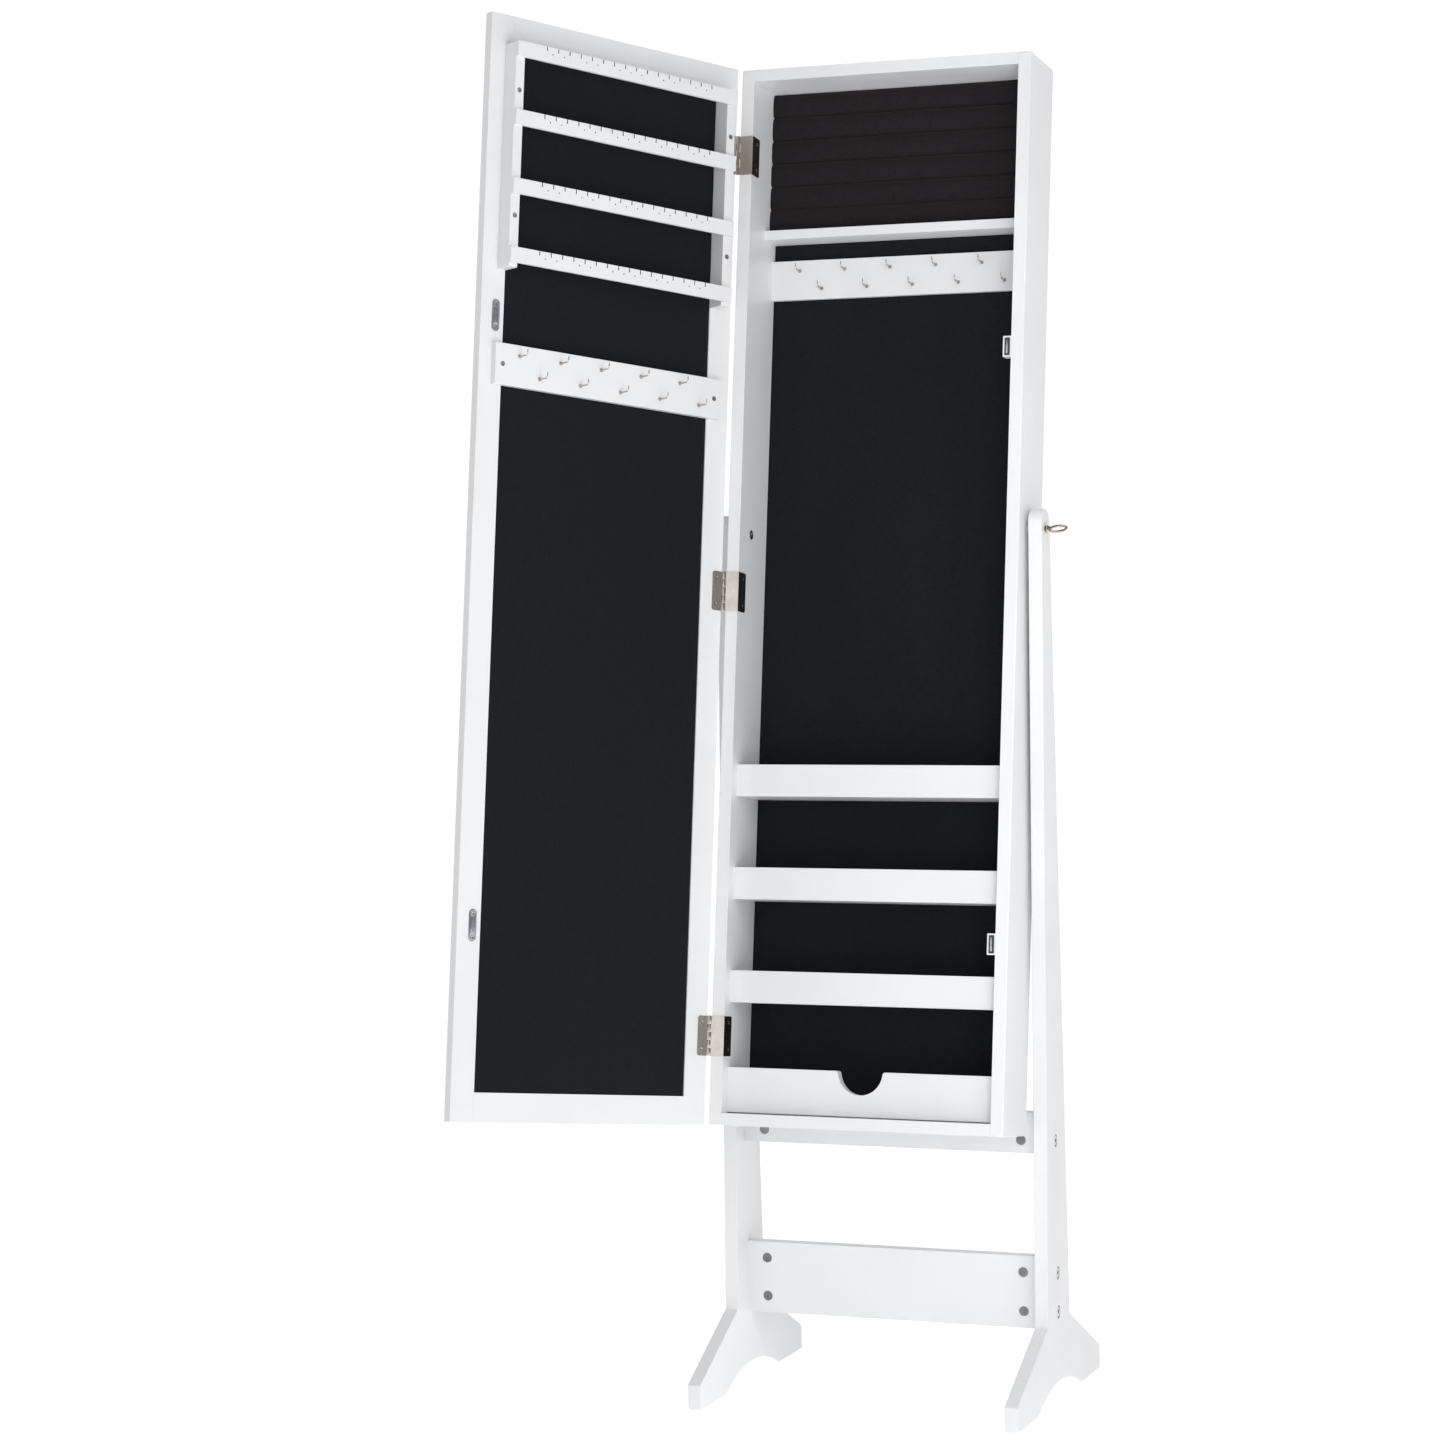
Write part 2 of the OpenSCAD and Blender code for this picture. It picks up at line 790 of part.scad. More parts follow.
// Side board of the earring rack: side is -1 at the hinge, 1 at the free edge
module rack_side(side) {
    x = door_mid + side * (rack_w - rack_side_t) / 2;
    color(lacquer) on_door() difference() {
        board([x - rack_side_t / 2, door_in, rack_z], [x + rack_side_t / 2, rack_front, rack_z + rack_h]);
        rack_screw_places() screw_body(rack_screw_len);
    }
}

module rack_side_hinge() { rack_side(-1); }
module rack_side_free() { rack_side(1); }

// Place of slot k along a bar, from the bar's middle
function slot_x(k) = (k - (slot_count - 1) / 2) * slot_pitch;

// Slotted bar number i of the rack, counted down
module rack_bar(i) {
    z0 = rack_z + bar_foot + (3 - i) * bar_pitch;
    color(lacquer) on_door() difference() {
        board([door_mid - rack_w / 2, rack_front, z0], [door_mid + rack_w / 2, bar_front, z0 + bar_h]);
        for (k = [0 : slot_count - 1])
            translate([door_mid + slot_x(k), 0, z0 + bar_h])
                board([-slot_w / 2, rack_front - 1, -slot_depth], [slot_w / 2, bar_front + 1, 1]);
        for (k = stud_gaps)
            translate([door_mid - slot_x(k + 0.5), 0, z0 + bar_h - stud_hole_drop])
                rod_y(rack_front - 1, bar_front + 1, stud_hole_r);
    }
}

module rack_bar_1() { rack_bar(0); }
module rack_bar_2() { rack_bar(1); }
module rack_bar_3() { rack_bar(2); }
module rack_bar_4() { rack_bar(3); }

module rack_screws() {
    color(steel) on_door() rack_screw_places() flat_screw(rack_screw_len);
}

module door_hook_bar() {
    color(lacquer) on_door() difference() {
        board(
            [door_mid - door_bar_w / 2, door_in, door_bar_z],
            [door_mid + door_bar_w / 2, door_bar_front, door_bar_z + hook_rail_h]
        );
        bar_screw_places() screw_body(door_bar_screw_len);
    }
}

module door_hooks() {
    color(nickel) on_door() translate([door_mid, door_bar_front, door_bar_z + hook_rail_h / 2])
        rotate([0, 0, 180]) hook_row();
}

module hook_bar_screws() {
    color(steel) on_door() bar_screw_places() flat_screw(door_bar_screw_len);
}

// Strike plate with round ends and a raised middle
module strike_plate(z) {
    color(steel) on_door() difference() {
        translate([strike_x, door_in, z]) rotate([-90, 0, 0]) {
            linear_extrude(strike_t) round_rect(strike_w, strike_h, strike_w / 2 - 0.01);
            linear_extrude(strike_t + strike_boss_t) square([strike_boss_w, strike_boss_h], center = true);
        }
        strike_screw_places() screw_body(screw_len);
    }
}

module strike_upper() { strike_plate(catch_z[0]); }
module strike_lower() { strike_plate(catch_z[1]); }

module strike_screws() {
    color(steel) on_door() strike_screw_places() flat_screw(screw_len);
}

leg_left();
leg_right();
upper_rail();
lower_rail();
rail_bolts();
barrel_nuts();
pivot_spacers();
pivot_washers();
thumb_screw_left();
thumb_screw_right();
side_left();
side_right();
top_board();
bottom_board();
back_board();
back_lining();
top_shelf();
ring_cushion();
cabinet_hook_rail();
cabinet_hooks();
shelf_upper();
shelf_middle();
shelf_lower();
lip_upper();
lip_middle();
lip_lower();
bottom_front();
pivot_inserts();
catch_upper();
catch_lower();
catch_magnets();
cabinet_leaf_top();
cabinet_leaf_middle();
cabinet_leaf_bottom();
hinge_pins();
cabinet_hinge_screws();
door_stile_hinge();
door_stile_free();
door_rail_top();
door_rail_bottom();
mirror_glass();
mirror_backing();
door_lining();
rack_side_hinge();
rack_side_free();
rack_bar_1();
rack_bar_2();
rack_bar_3();
rack_bar_4();
rack_screws();
door_hook_bar();
door_hooks();
hook_bar_screws();
strike_upper();
strike_lower();
strike_screws();
door_leaf_top();
door_leaf_middle();
door_leaf_bottom();
door_hinge_screws();
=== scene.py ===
"""Looks of the jewelry armoire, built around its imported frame. Metres, in the row frame."""

import json
import math

import bmesh
import bpy
import numpy as np
from mathutils import Matrix, Vector, noise


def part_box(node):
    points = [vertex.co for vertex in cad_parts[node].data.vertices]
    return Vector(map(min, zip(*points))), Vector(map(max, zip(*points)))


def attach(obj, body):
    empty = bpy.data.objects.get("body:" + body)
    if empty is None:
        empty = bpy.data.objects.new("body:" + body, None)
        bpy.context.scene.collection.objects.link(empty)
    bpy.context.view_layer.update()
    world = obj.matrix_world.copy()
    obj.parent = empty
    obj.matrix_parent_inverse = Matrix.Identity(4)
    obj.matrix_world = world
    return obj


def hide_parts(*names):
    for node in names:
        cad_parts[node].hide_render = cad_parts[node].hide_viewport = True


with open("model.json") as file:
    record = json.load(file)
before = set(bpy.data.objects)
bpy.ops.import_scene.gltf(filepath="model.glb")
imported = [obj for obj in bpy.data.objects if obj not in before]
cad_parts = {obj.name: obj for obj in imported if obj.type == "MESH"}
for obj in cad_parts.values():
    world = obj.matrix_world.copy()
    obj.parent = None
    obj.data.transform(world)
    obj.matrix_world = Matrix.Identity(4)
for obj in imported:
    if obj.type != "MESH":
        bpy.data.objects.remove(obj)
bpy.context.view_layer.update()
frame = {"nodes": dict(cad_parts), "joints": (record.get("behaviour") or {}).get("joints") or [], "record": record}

MM = 0.001
BODIES = frame["record"]["behaviour"]["bodies"]
JOINTS = {joint["name"]: joint for joint in frame["joints"]}


# ---- Frames, all worked out from the joints ----

def lean_angle():
    """Lean of the cabinet at rest: the door's axis leans with it."""
    axis = JOINTS["door_swing"]["axis"]
    return math.atan2(-axis[1], -axis[2])


def stand_frame():
    """The stand's frame: on the floor, midway between the legs."""
    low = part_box("leg_left")[0]
    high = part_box("leg_right")[1]
    centre = (low + high) / 2
    return Matrix.Translation((centre.x, centre.y, 0))


def cabinet_frame():
    """The cabinet's frame: on the pivot axis, leaning back with the cabinet."""
    turn = Matrix.Rotation(-lean_angle(), 4, "X")
    return Matrix.Translation(JOINTS["cabinet_tilt"]["pos_m"]) @ turn


def door_frame():
    """The door's frame: on the hinge axis, along the door from hinge to free edge."""
    opening = math.radians(JOINTS["door_swing"]["range_deg"][0])
    turn = cabinet_frame().to_3x3().to_4x4() @ Matrix.Rotation(opening, 4, "Z")
    return Matrix.Translation(JOINTS["door_swing"]["pos_m"]) @ turn


PLACES = {"stand": stand_frame(), "cabinet": cabinet_frame(), "door": door_frame()}
PLACES["thumb_left"] = PLACES["stand"]
PLACES["thumb_right"] = PLACES["stand"]
BODY_OF = {node: body for body, nodes in BODIES.items() for node in nodes}


def place_of(node):
    """The frame of the body that a CAD node belongs to."""
    return PLACES[BODY_OF[node]]


def span(node):
    """Lowest and highest corner of a CAD node, in its body's own frame."""
    inverse = place_of(node).inverted()
    points = np.array([inverse @ vertex.co for vertex in frame["nodes"][node].data.vertices])
    return Vector(points.min(0)), Vector(points.max(0))


def welded(node):
    """A CAD node as a bmesh, with its split corners joined and its flat faces whole."""
    bm = bmesh.new()
    bm.from_mesh(frame["nodes"][node].data)
    bmesh.ops.remove_doubles(bm, verts=bm.verts, dist=0.02 * MM)
    bmesh.ops.dissolve_limit(bm, angle_limit=math.radians(0.5), verts=bm.verts, edges=bm.edges)
    return bm


def connected(items, neighbours):
    """Groups of items that reach each other through neighbours(item)."""
    left, groups = set(items), []
    for item in items:
        if item not in left:
            continue
        left.discard(item)
        group, queue = [], [item]
        while queue:
            current = queue.pop()
            group.append(current)
            for other in neighbours(current):
                if other in left:
                    left.discard(other)
                    queue.append(other)
        groups.append(group)
    return groups


def solids(node):
    """(low, high) corners of each separate solid of a CAD node, in its body's frame."""
    bm = bmesh.new()
    bm.from_mesh(frame["nodes"][node].data)
    bmesh.ops.remove_doubles(bm, verts=bm.verts, dist=0.002 * MM)
    inverse = place_of(node).inverted()

    def around(vertex):
        return [edge.other_vert(vertex) for edge in vertex.link_edges]

    found = []
    for group in connected(list(bm.verts), around):
        points = np.array([inverse @ vertex.co for vertex in group])
        found.append((Vector(points.min(0)), Vector(points.max(0))))
    bm.free()
    return sorted(found, key=lambda box: tuple(round(value, 4) for value in box[0]))


# ---- Materials ----

def material(name, **sockets):
    """A new Principled material with constants on its own sockets."""
    made = bpy.data.materials.new(name)
    made.use_nodes = True
    bsdf = made.node_tree.nodes["Principled BSDF"]
    for socket, value in sockets.items():
        bsdf.inputs[socket.replace("_", " ")].default_value = value
    return made


def add(tree, kind, **inputs):
    """Adds a shader node and sets its input values by name."""
    made = tree.nodes.new(kind)
    for name, value in inputs.items():
        made.inputs[name.replace("_", " ")].default_value = value
    return made


def grain(tree, scale, detail=3.0, stretch=(1, 1, 1), roughness=0.5, turn=(0, 0, 0)):
    """Noise in object space, `scale` cells to the metre. Returns its value socket."""
    where = add(tree, "ShaderNodeTexCoord")
    mapping = add(tree, "ShaderNodeMapping", Scale=stretch, Rotation=turn)
    made = add(tree, "ShaderNodeTexNoise", Scale=scale, Detail=detail, Roughness=roughness)
    tree.links.new(where.outputs["Object"], mapping.inputs["Vector"])
    tree.links.new(mapping.outputs["Vector"], made.inputs["Vector"])
    return made.outputs["Fac"]


def specks(tree, scale, size):
    """Sparse round specks: 1 inside a speck and 0 outside. Returns the value socket."""
    where = add(tree, "ShaderNodeTexCoord")
    cells = add(tree, "ShaderNodeTexVoronoi", Scale=scale)
    ramp = tree.nodes.new("ShaderNodeMapRange")
    ramp.inputs["From Min"].default_value = size
    ramp.inputs["From Max"].default_value = size * 0.5
    tree.links.new(where.outputs["Object"], cells.inputs["Vector"])
    tree.links.new(cells.outputs["Distance"], ramp.inputs["Value"])
    return ramp.outputs["Result"]


def spread(tree, value, low, high, start=0.3, end=0.7):
    """Maps start..end of a value to low..high. Returns the value socket."""
    made = tree.nodes.new("ShaderNodeMapRange")
    for name, number in (("From Min", start), ("From Max", end), ("To Min", low), ("To Max", high)):
        made.inputs[name].default_value = number
    tree.links.new(value, made.inputs["Value"])
    return made.outputs["Result"]


def blend_colours(tree, factor, first, second):
    """Mix of two colours, or of a socket and a colour, by a factor socket."""
    made = tree.nodes.new("ShaderNodeMix")
    made.data_type = "RGBA"
    tree.links.new(factor, made.inputs["Factor"])
    for socket, colour in ((made.inputs[6], first), (made.inputs[7], second)):
        if isinstance(colour, bpy.types.NodeSocket):
            tree.links.new(colour, socket)
        else:
            socket.default_value = (*colour, 1)
    return made.outputs[2]


def bump(tree, heights):
    """Stacked bumps from (height socket, strength, depth in metres)."""
    normal = None
    for height, strength, depth in heights:
        made = add(tree, "ShaderNodeBump", Strength=strength, Distance=depth)
        tree.links.new(height, made.inputs["Height"])
        if normal is not None:
            tree.links.new(normal, made.inputs["Normal"])
        normal = made.outputs["Normal"]
    tree.links.new(normal, tree.nodes["Principled BSDF"].inputs["Normal"])


def finish_material(made, colour, roughness):
    """Joins colour and roughness sockets to a material's shader."""
    tree = made.node_tree
    bsdf = tree.nodes["Principled BSDF"]
    tree.links.new(colour, bsdf.inputs["Base Color"])
    tree.links.new(roughness, bsdf.inputs["Roughness"])
    return made


def lacquer_material(name, pale, shade, smooth, rough):
    """Satin white lacquer over fibreboard: orange peel, faint mottling and tiny nibs."""
    made = material(name, Specular_IOR_Level=0.42, Coat_Weight=0.12, Coat_Roughness=0.25)
    tree = made.node_tree
    mottling = grain(tree, 7.0, 4.0)
    colour = blend_colours(tree, spread(tree, mottling, 0, 1, 0.35, 0.65), pale, shade)
    nibs = specks(tree, 110.0, 0.035)
    colour = blend_colours(tree, nibs, colour, tuple(channel * 0.93 for channel in shade))
    peel = grain(tree, 420.0, 2.0)
    fine = grain(tree, 1900.0, 2.0)
    bump(tree, [(peel, 0.10, 0.05 * MM), (fine, 0.05, 0.02 * MM), (nibs, 0.2, 0.03 * MM)])
    return finish_material(made, colour, spread(tree, grain(tree, 26.0, 5.0), smooth, rough))


def pile_material(name, dark, light, tint, sheen, nap):
    """Short dark pile: crossed fibres, brushed patches, soft sheen and a little lint."""
    made = material(name, Specular_IOR_Level=0.2, Sheen_Weight=sheen, Sheen_Roughness=0.45)
    made.node_tree.nodes["Principled BSDF"].inputs["Sheen Tint"].default_value = (*tint, 1)
    tree = made.node_tree
    along = grain(tree, 700.0, 4.0, stretch=(0.25, 1, 1), turn=(0.3, 0.2, 0.5))
    across = grain(tree, 700.0, 4.0, stretch=(1, 1, 0.25), turn=(-0.2, 0.4, -0.6))
    fibres = add(tree, "ShaderNodeMath")
    fibres.operation = "ADD"
    tree.links.new(along, fibres.inputs[0])
    tree.links.new(across, fibres.inputs[1])
    brushed = grain(tree, 9.0, 3.0, stretch=(1, 1, 0.35))
    colour = blend_colours(tree, spread(tree, fibres.outputs[0], 0, 1, 0.75, 1.3), dark, light)
    patch = spread(tree, brushed, 0, 0.45, 0.4, 0.7)
    colour = blend_colours(tree, patch, colour, light)
    lint = specks(tree, 55.0, 0.018)
    colour = blend_colours(tree, lint, colour, tuple(3.5 * channel for channel in light))
    bump(tree, [(fibres.outputs[0], nap, 0.35 * MM), (brushed, 0.15, 0.8 * MM)])
    return finish_material(made, colour, spread(tree, brushed, 0.82, 0.98))


def metal_material(name, bright, dull, smooth, rough, scratch):
    """Plated metal: cloudy plating, hairline scratches and faint pits."""
    made = material(name, Metallic=1.0, Anisotropic=0.15)
    tree = made.node_tree
    cloud = grain(tree, 60.0, 4.0)
    colour = blend_colours(tree, spread(tree, cloud, 0, 1), bright, dull)
    hairs = grain(tree, 900.0, 3.0, stretch=(1, 1, 0.04), turn=(0.2, 0.1, 0))
    pits = specks(tree, 900.0, 0.12)
    bump(tree, [(hairs, scratch, 0.02 * MM), (pits, 0.1, 0.02 * MM)])
    return finish_material(made, colour, spread(tree, cloud, smooth, rough))


def plastic_material(name, pale, shade, smooth, rough):
    """Moulded plastic with a fine spark-eroded texture."""
    made = material(name, Specular_IOR_Level=0.5)
    tree = made.node_tree
    colour = blend_colours(tree, spread(tree, grain(tree, 140.0), 0, 1), pale, shade)
    bump(tree, [(grain(tree, 2600.0, 2.0), 0.25, 0.04 * MM)])
    return finish_material(made, colour, spread(tree, grain(tree, 300.0), smooth, rough))


def mirror_material():
    """Silvered glass with a barely seen film of dust and wiping marks."""
    made = material("mirror_silver", Metallic=1.0, Coat_Weight=0.4, Coat_Roughness=0.02)
    tree = made.node_tree
    wiped = grain(tree, 14.0, 6.0, stretch=(1, 1, 0.3), turn=(0, 0.5, 0))
    silver = (0.93, 0.95, 0.945)
    hazed = (0.88, 0.9, 0.9)
    dust = specks(tree, 300.0, 0.05)
    colour = blend_colours(tree, spread(tree, wiped, 0, 1, 0.5, 0.9), silver, hazed)
    colour = blend_colours(tree, dust, colour, (0.8, 0.82, 0.82))
    bump(tree, [(dust, 0.05, 0.01 * MM)])
    return finish_material(made, colour, spread(tree, wiped, 0.01, 0.05, 0.45, 0.8))


def glass_edge_material():
    """Ground green edge of the mirror."""
    made = material("glass_edge", Specular_IOR_Level=0.6)
    tree = made.node_tree
    ground = grain(tree, 1200.0, 3.0)
    colour = blend_colours(tree, spread(tree, ground, 0, 1), (0.2, 0.36, 0.32), (0.34, 0.5, 0.45))
    bump(tree, [(ground, 0.3, 0.05 * MM)])
    return finish_material(made, colour, spread(tree, ground, 0.35, 0.6))


def hardboard_material(name, dark, light):
    """Pressed wood fibres."""
    made = material(name, Specular_IOR_Level=0.3)
    tree = made.node_tree
    fibres = grain(tree, 420.0, 6.0, stretch=(1, 1, 0.35))
    cloud = grain(tree, 18.0)
    colour = blend_colours(tree, spread(tree, fibres, 0, 1), dark, light)
    colour = blend_colours(tree, spread(tree, cloud, 0, 0.4), colour, dark)
    bump(tree, [(fibres, 0.4, 0.1 * MM)])
    return finish_material(made, colour, spread(tree, cloud, 0.6, 0.8))


LACQUER = lacquer_material("white_lacquer", (0.82, 0.824, 0.836), (0.79, 0.795, 0.81), 0.34, 0.46)
# Lacquer for the rounded edges: glossier, and paler than the flat faces as a painted highlight along the edges.
LACQUER_HIGHLIT_EDGE = lacquer_material(
    "white_lacquer_highlit_edge", (0.85, 0.853, 0.86), (0.81, 0.815, 0.825), 0.24, 0.36
)
FELT = pile_material(
    "black_felt", (0.006, 0.0065, 0.0085), (0.0096, 0.0104, 0.0136), (0.75, 0.82, 1.0), 0.10, 0.4
)
VELVET = pile_material(
    "dark_velvet", (0.0115, 0.009, 0.0105), (0.0185, 0.015, 0.0175), (1.0, 0.88, 0.96), 0.09, 0.3
)
NICKEL = metal_material(
    "champagne_nickel", (0.83, 0.76, 0.69), (0.72, 0.64, 0.56), 0.14, 0.26, 0.12
)
# Darker copy of the champagne nickel for the hooks' collar, shank and bend: a painted dark reflection.
DARK_NICKEL = metal_material("nickel_painted_dark_reflection", (0.56, 0.49, 0.44), (0.42, 0.36, 0.31), 0.16, 0.3, 0.12)
ZINC = metal_material("zinc_plate", (0.56, 0.59, 0.64), (0.4, 0.43, 0.48), 0.14, 0.3, 0.2)
BOLT = metal_material("bright_bolt", (0.62, 0.63, 0.65), (0.46, 0.47, 0.49), 0.12, 0.26, 0.15)
POLISHED = metal_material(
    "polished_nickel", (0.74, 0.66, 0.59), (0.6, 0.52, 0.45), 0.06, 0.14, 0.06
)
DARK_STEEL = metal_material("cross_dowel", (0.3, 0.31, 0.32), (0.2, 0.205, 0.215), 0.34, 0.5, 0.2)
FERRITE = plastic_material("ferrite", (0.05, 0.05, 0.055), (0.08, 0.08, 0.085), 0.55, 0.75)
WHITE_PLASTIC = plastic_material("white_plastic", (0.84, 0.84, 0.83), (0.78, 0.78, 0.77), 0.3, 0.45)
GREY_PLASTIC = plastic_material("grey_plastic", (0.5, 0.5, 0.505), (0.42, 0.42, 0.425), 0.45, 0.6)
MIRROR = mirror_material()
GLASS_EDGE = glass_edge_material()
HARDBOARD = hardboard_material("pressed_fibre", (0.22, 0.13, 0.07), (0.4, 0.27, 0.16))
# Bare fibreboard, much darker than the raw board: it also stands for the shade inside holes and recesses (painted
# shade).
BARE_BOARD_SHADED = hardboard_material("bare_board_painted_shade", (0.12, 0.1, 0.085), (0.2, 0.17, 0.14))


# ---- Mesh helpers ----

def linked(name, data):
    """A new object in the scene that shows a mesh, a camera or a lamp."""
    made = bpy.data.objects.new(name, data)
    bpy.context.scene.collection.objects.link(made)
    return made


def mesh_of(name, bm):
    """A new mesh made from a bmesh, which is freed."""
    mesh = bpy.data.meshes.new(name)
    bm.to_mesh(mesh)
    bm.free()
    return mesh


def rounded(bm, radius, segments):
    """Rounds every edge of a bmesh."""
    bmesh.ops.bevel(
        bm, geom=bm.edges[:], offset=radius, segments=segments, profile=0.5, affect="EDGES"
    )


def piece(name, bm, materials, body, slot, *nodes, crease=40.0):
    """Makes a mesh piece that rides on a body, smooth but for edges past the crease."""
    mesh = mesh_of(name, bm)
    mesh.shade_smooth()
    mesh.set_sharp_from_angle(angle=math.radians(crease))
    for surface in materials:
        mesh.materials.append(surface)
    made = linked(name, mesh)
    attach(made, body)
    if nodes:
        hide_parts(*nodes)
    return made


def sample_line(start, end, step=3 * MM):
    """Points along a line, no more than a step apart."""
    count = max(2, int((end - start).length / step) + 2)
    return np.array([start.lerp(end, index / (count - 1)) for index in range(count)])


def touching_length(start, end, boxes, reach=0.15 * MM):
    """How much of a line lies within reach of one of the boxes."""
    points = sample_line(start, end)
    touching = np.zeros(len(points), bool)
    for low, high in boxes:
        inside = (points > np.array(low) - reach) & (points < np.array(high) + reach)
        touching |= inside.all(axis=1)
    return touching.mean() * (end - start).length


BROAD = 2 * MM
SHARP_EDGE = math.radians(35)


def eased(node, radius, materials, slot, fine=0.25 * MM, smallest=15 * MM, beside=()):
    """A copy of a CAD node with its outer edges rounded, which stands for it.

    Edges that lie against one of the boards named in beside stay sharp or get the fine
    radius, so that a joint under one coat of lacquer hardly shows. Rims of holes smaller
    than `smallest` stay as they are.
    """
    bm = welded(node)
    inverse = place_of(node).inverted()
    boxes = [span(other) for other in beside if other != node]
    weight = bm.edges.layers.float.new("bevel_weight_edge")

    def sharp(edge):
        return len(edge.link_faces) == 2 and edge.calc_face_angle() > SHARP_EDGE

    def around(edge):
        return [other for vertex in edge.verts for other in vertex.link_edges]

    for group in connected([edge for edge in bm.edges if sharp(edge)], around):
        corners = np.array([vertex.co for edge in group for vertex in edge.verts])
        if np.linalg.norm(corners.max(0) - corners.min(0)) < smallest:
            continue
        for edge in group:
            start, end = (inverse @ vertex.co for vertex in edge.verts)
            touching = touching_length(start, end, boxes) if boxes else 0
            if touching > 0.9 * (end - start).length:
                edge[weight] = 0
            elif touching > 5 * MM:
                edge[weight] = min(1, fine / radius)
            else:
                edge[weight] = 1
    made = piece(f"{node}_eased", bm, materials, BODY_OF[node], slot, node)
    rounding = made.modifiers.new("rounding", "BEVEL")
    rounding.width = radius
    rounding.segments = 3
    rounding.limit_method = "WEIGHT"
    rounding.use_clamp_overlap = True
    # On boards the rounded faces get the second, paler lacquer: a painted highlight along every eased edge.
    if len(materials) > 1:
        rounding.material = 1
    return baked(made)


def baked(made, crease=40.0):
    """Applies a piece's modifiers. Broad faces stay flat and the rest is smooth."""
    graph = bpy.context.evaluated_depsgraph_get()
    mesh = bpy.data.meshes.new_from_object(made.evaluated_get(graph))
    made.modifiers.clear()
    old = made.data
    made.data = mesh
    bpy.data.meshes.remove(old)
    mesh.name = made.name
    mesh.shade_smooth()
    mesh.set_sharp_from_angle(angle=math.radians(crease))
    for polygon in mesh.polygons:
        width = 2 * polygon.area / perimeter(mesh, polygon)
        if width > BROAD:
            polygon.use_smooth = False
    return made


def perimeter(mesh, polygon):
    """Length of a polygon's outline."""
    corners = [mesh.vertices[index].co for index in polygon.vertices]
    return sum((corners[index] - corners[index - 1]).length for index in range(len(corners)))


def turned(bm, profile, place, sides=32):
    """Revolves (along, radius) points about the local z axis of a place."""
    rings = []
    for along, radius in profile:
        if radius < 1e-7:
            rings.append([bm.verts.new(place @ Vector((0, 0, along)))])
            continue
        angles = [2 * math.pi * index / sides for index in range(sides)]
        rings.append([
            bm.verts.new(place @ Vector((radius * math.cos(a), radius * math.sin(a), along)))
            for a in angles
        ])
    for first, second in zip(rings, rings[1:]):
        for index in range(sides):
            nxt = (index + 1) % sides
            loop = [first[index % len(first)], first[nxt % len(first)],
                    second[nxt % len(second)], second[index % len(second)]]
            corners = list(dict.fromkeys(loop))
            if len(corners) > 2:
                bm.faces.new(corners)
    for ring, backwards in ((rings[0], True), (rings[-1], False)):
        if len(ring) > 2:
            bm.faces.new(list(reversed(ring)) if backwards else ring)


def tube(bm, path, radii, sides=14, closed=False):
    """Sweeps a round section along points, with one radius for each. Open ends are capped."""
    count = len(path)
    normal = None
    rings = []
    for index, point in enumerate(path):
        before = path[(index - 1) % count] if closed or index else point
        after = path[(index + 1) % count] if closed or index < count - 1 else point
        tangent = (after - before).normalized()
        if normal is None:
            normal = tangent.orthogonal().normalized()
        normal = (normal - tangent * normal.dot(tangent)).normalized()
        other = tangent.cross(normal)
        rings.append([
            bm.verts.new(point + radii[index] * (
                math.cos(2 * math.pi * side / sides) * normal
                + math.sin(2 * math.pi * side / sides) * other
            ))
            for side in range(sides)
        ])
    pairs = list(zip(rings, rings[1:]))
    if closed:
        pairs.append((rings[-1], rings[0]))
    for first, second in pairs:
        for side in range(sides):
            nxt = (side + 1) % sides
            bm.faces.new((first[side], first[nxt], second[nxt], second[side]))
    if not closed:
        bm.faces.new(list(reversed(rings[0])))
        bm.faces.new(rings[-1])


def round_end(path, radius, steps=5):
    """Adds a rounded tip to a path: returns the longer path and its radii."""
    direction = (path[-1] - path[-2]).normalized()
    points, radii = list(path), [radius] * len(path)
    for step in range(1, steps + 1):
        angle = math.pi / 2 * step / (steps + 0.4)
        points.append(path[-1] + direction * radius * math.sin(angle))
        radii.append(radius * math.cos(angle))
    return points, radii


def facing(direction):
    """Rotation that turns the local z axis to a direction."""
    return Vector(direction).to_track_quat("Z", "Y").to_matrix().to_4x4()


# ---- Lacquered boards ----

BOARD_RADIUS = 1.1 * MM
THIN_BOARD_RADIUS = 0.7 * MM
BAR_RADIUS = 0.2 * MM
BOARDS = {
    "stand": ["leg_left", "leg_right", "upper_rail", "lower_rail"],
    "cabinet": [
        "side_left", "side_right", "top_board", "bottom_board", "back_board", "top_shelf",
        "cabinet_hook_rail", "shelf_upper", "shelf_middle", "shelf_lower",
        "lip_upper", "lip_middle", "lip_lower", "bottom_front",
    ],
    "door": [
        "door_stile_hinge", "door_stile_free", "door_rail_top", "door_rail_bottom",
        "rack_side_hinge", "rack_side_free", "door_hook_bar",
    ],
}
THIN_BOARDS = [
    "back_board", "cabinet_hook_rail", "top_shelf", "shelf_upper", "shelf_middle", "shelf_lower",
    "rack_side_hinge", "rack_side_free", "door_hook_bar",
]
LEGS = ["leg_left", "leg_right"]
# Board looks: lacquer, the paler edge lacquer (painted highlight), and darkened bare board (painted shade in holes
# and recesses).
BOARD_LOOK = [LACQUER, LACQUER_HIGHLIT_EDGE, BARE_BOARD_SHADED]
BARE_SHADED = BOARD_LOOK.index(BARE_BOARD_SHADED)
RACK_BARS = ["rack_bar_1", "rack_bar_2", "rack_bar_3", "rack_bar_4"]


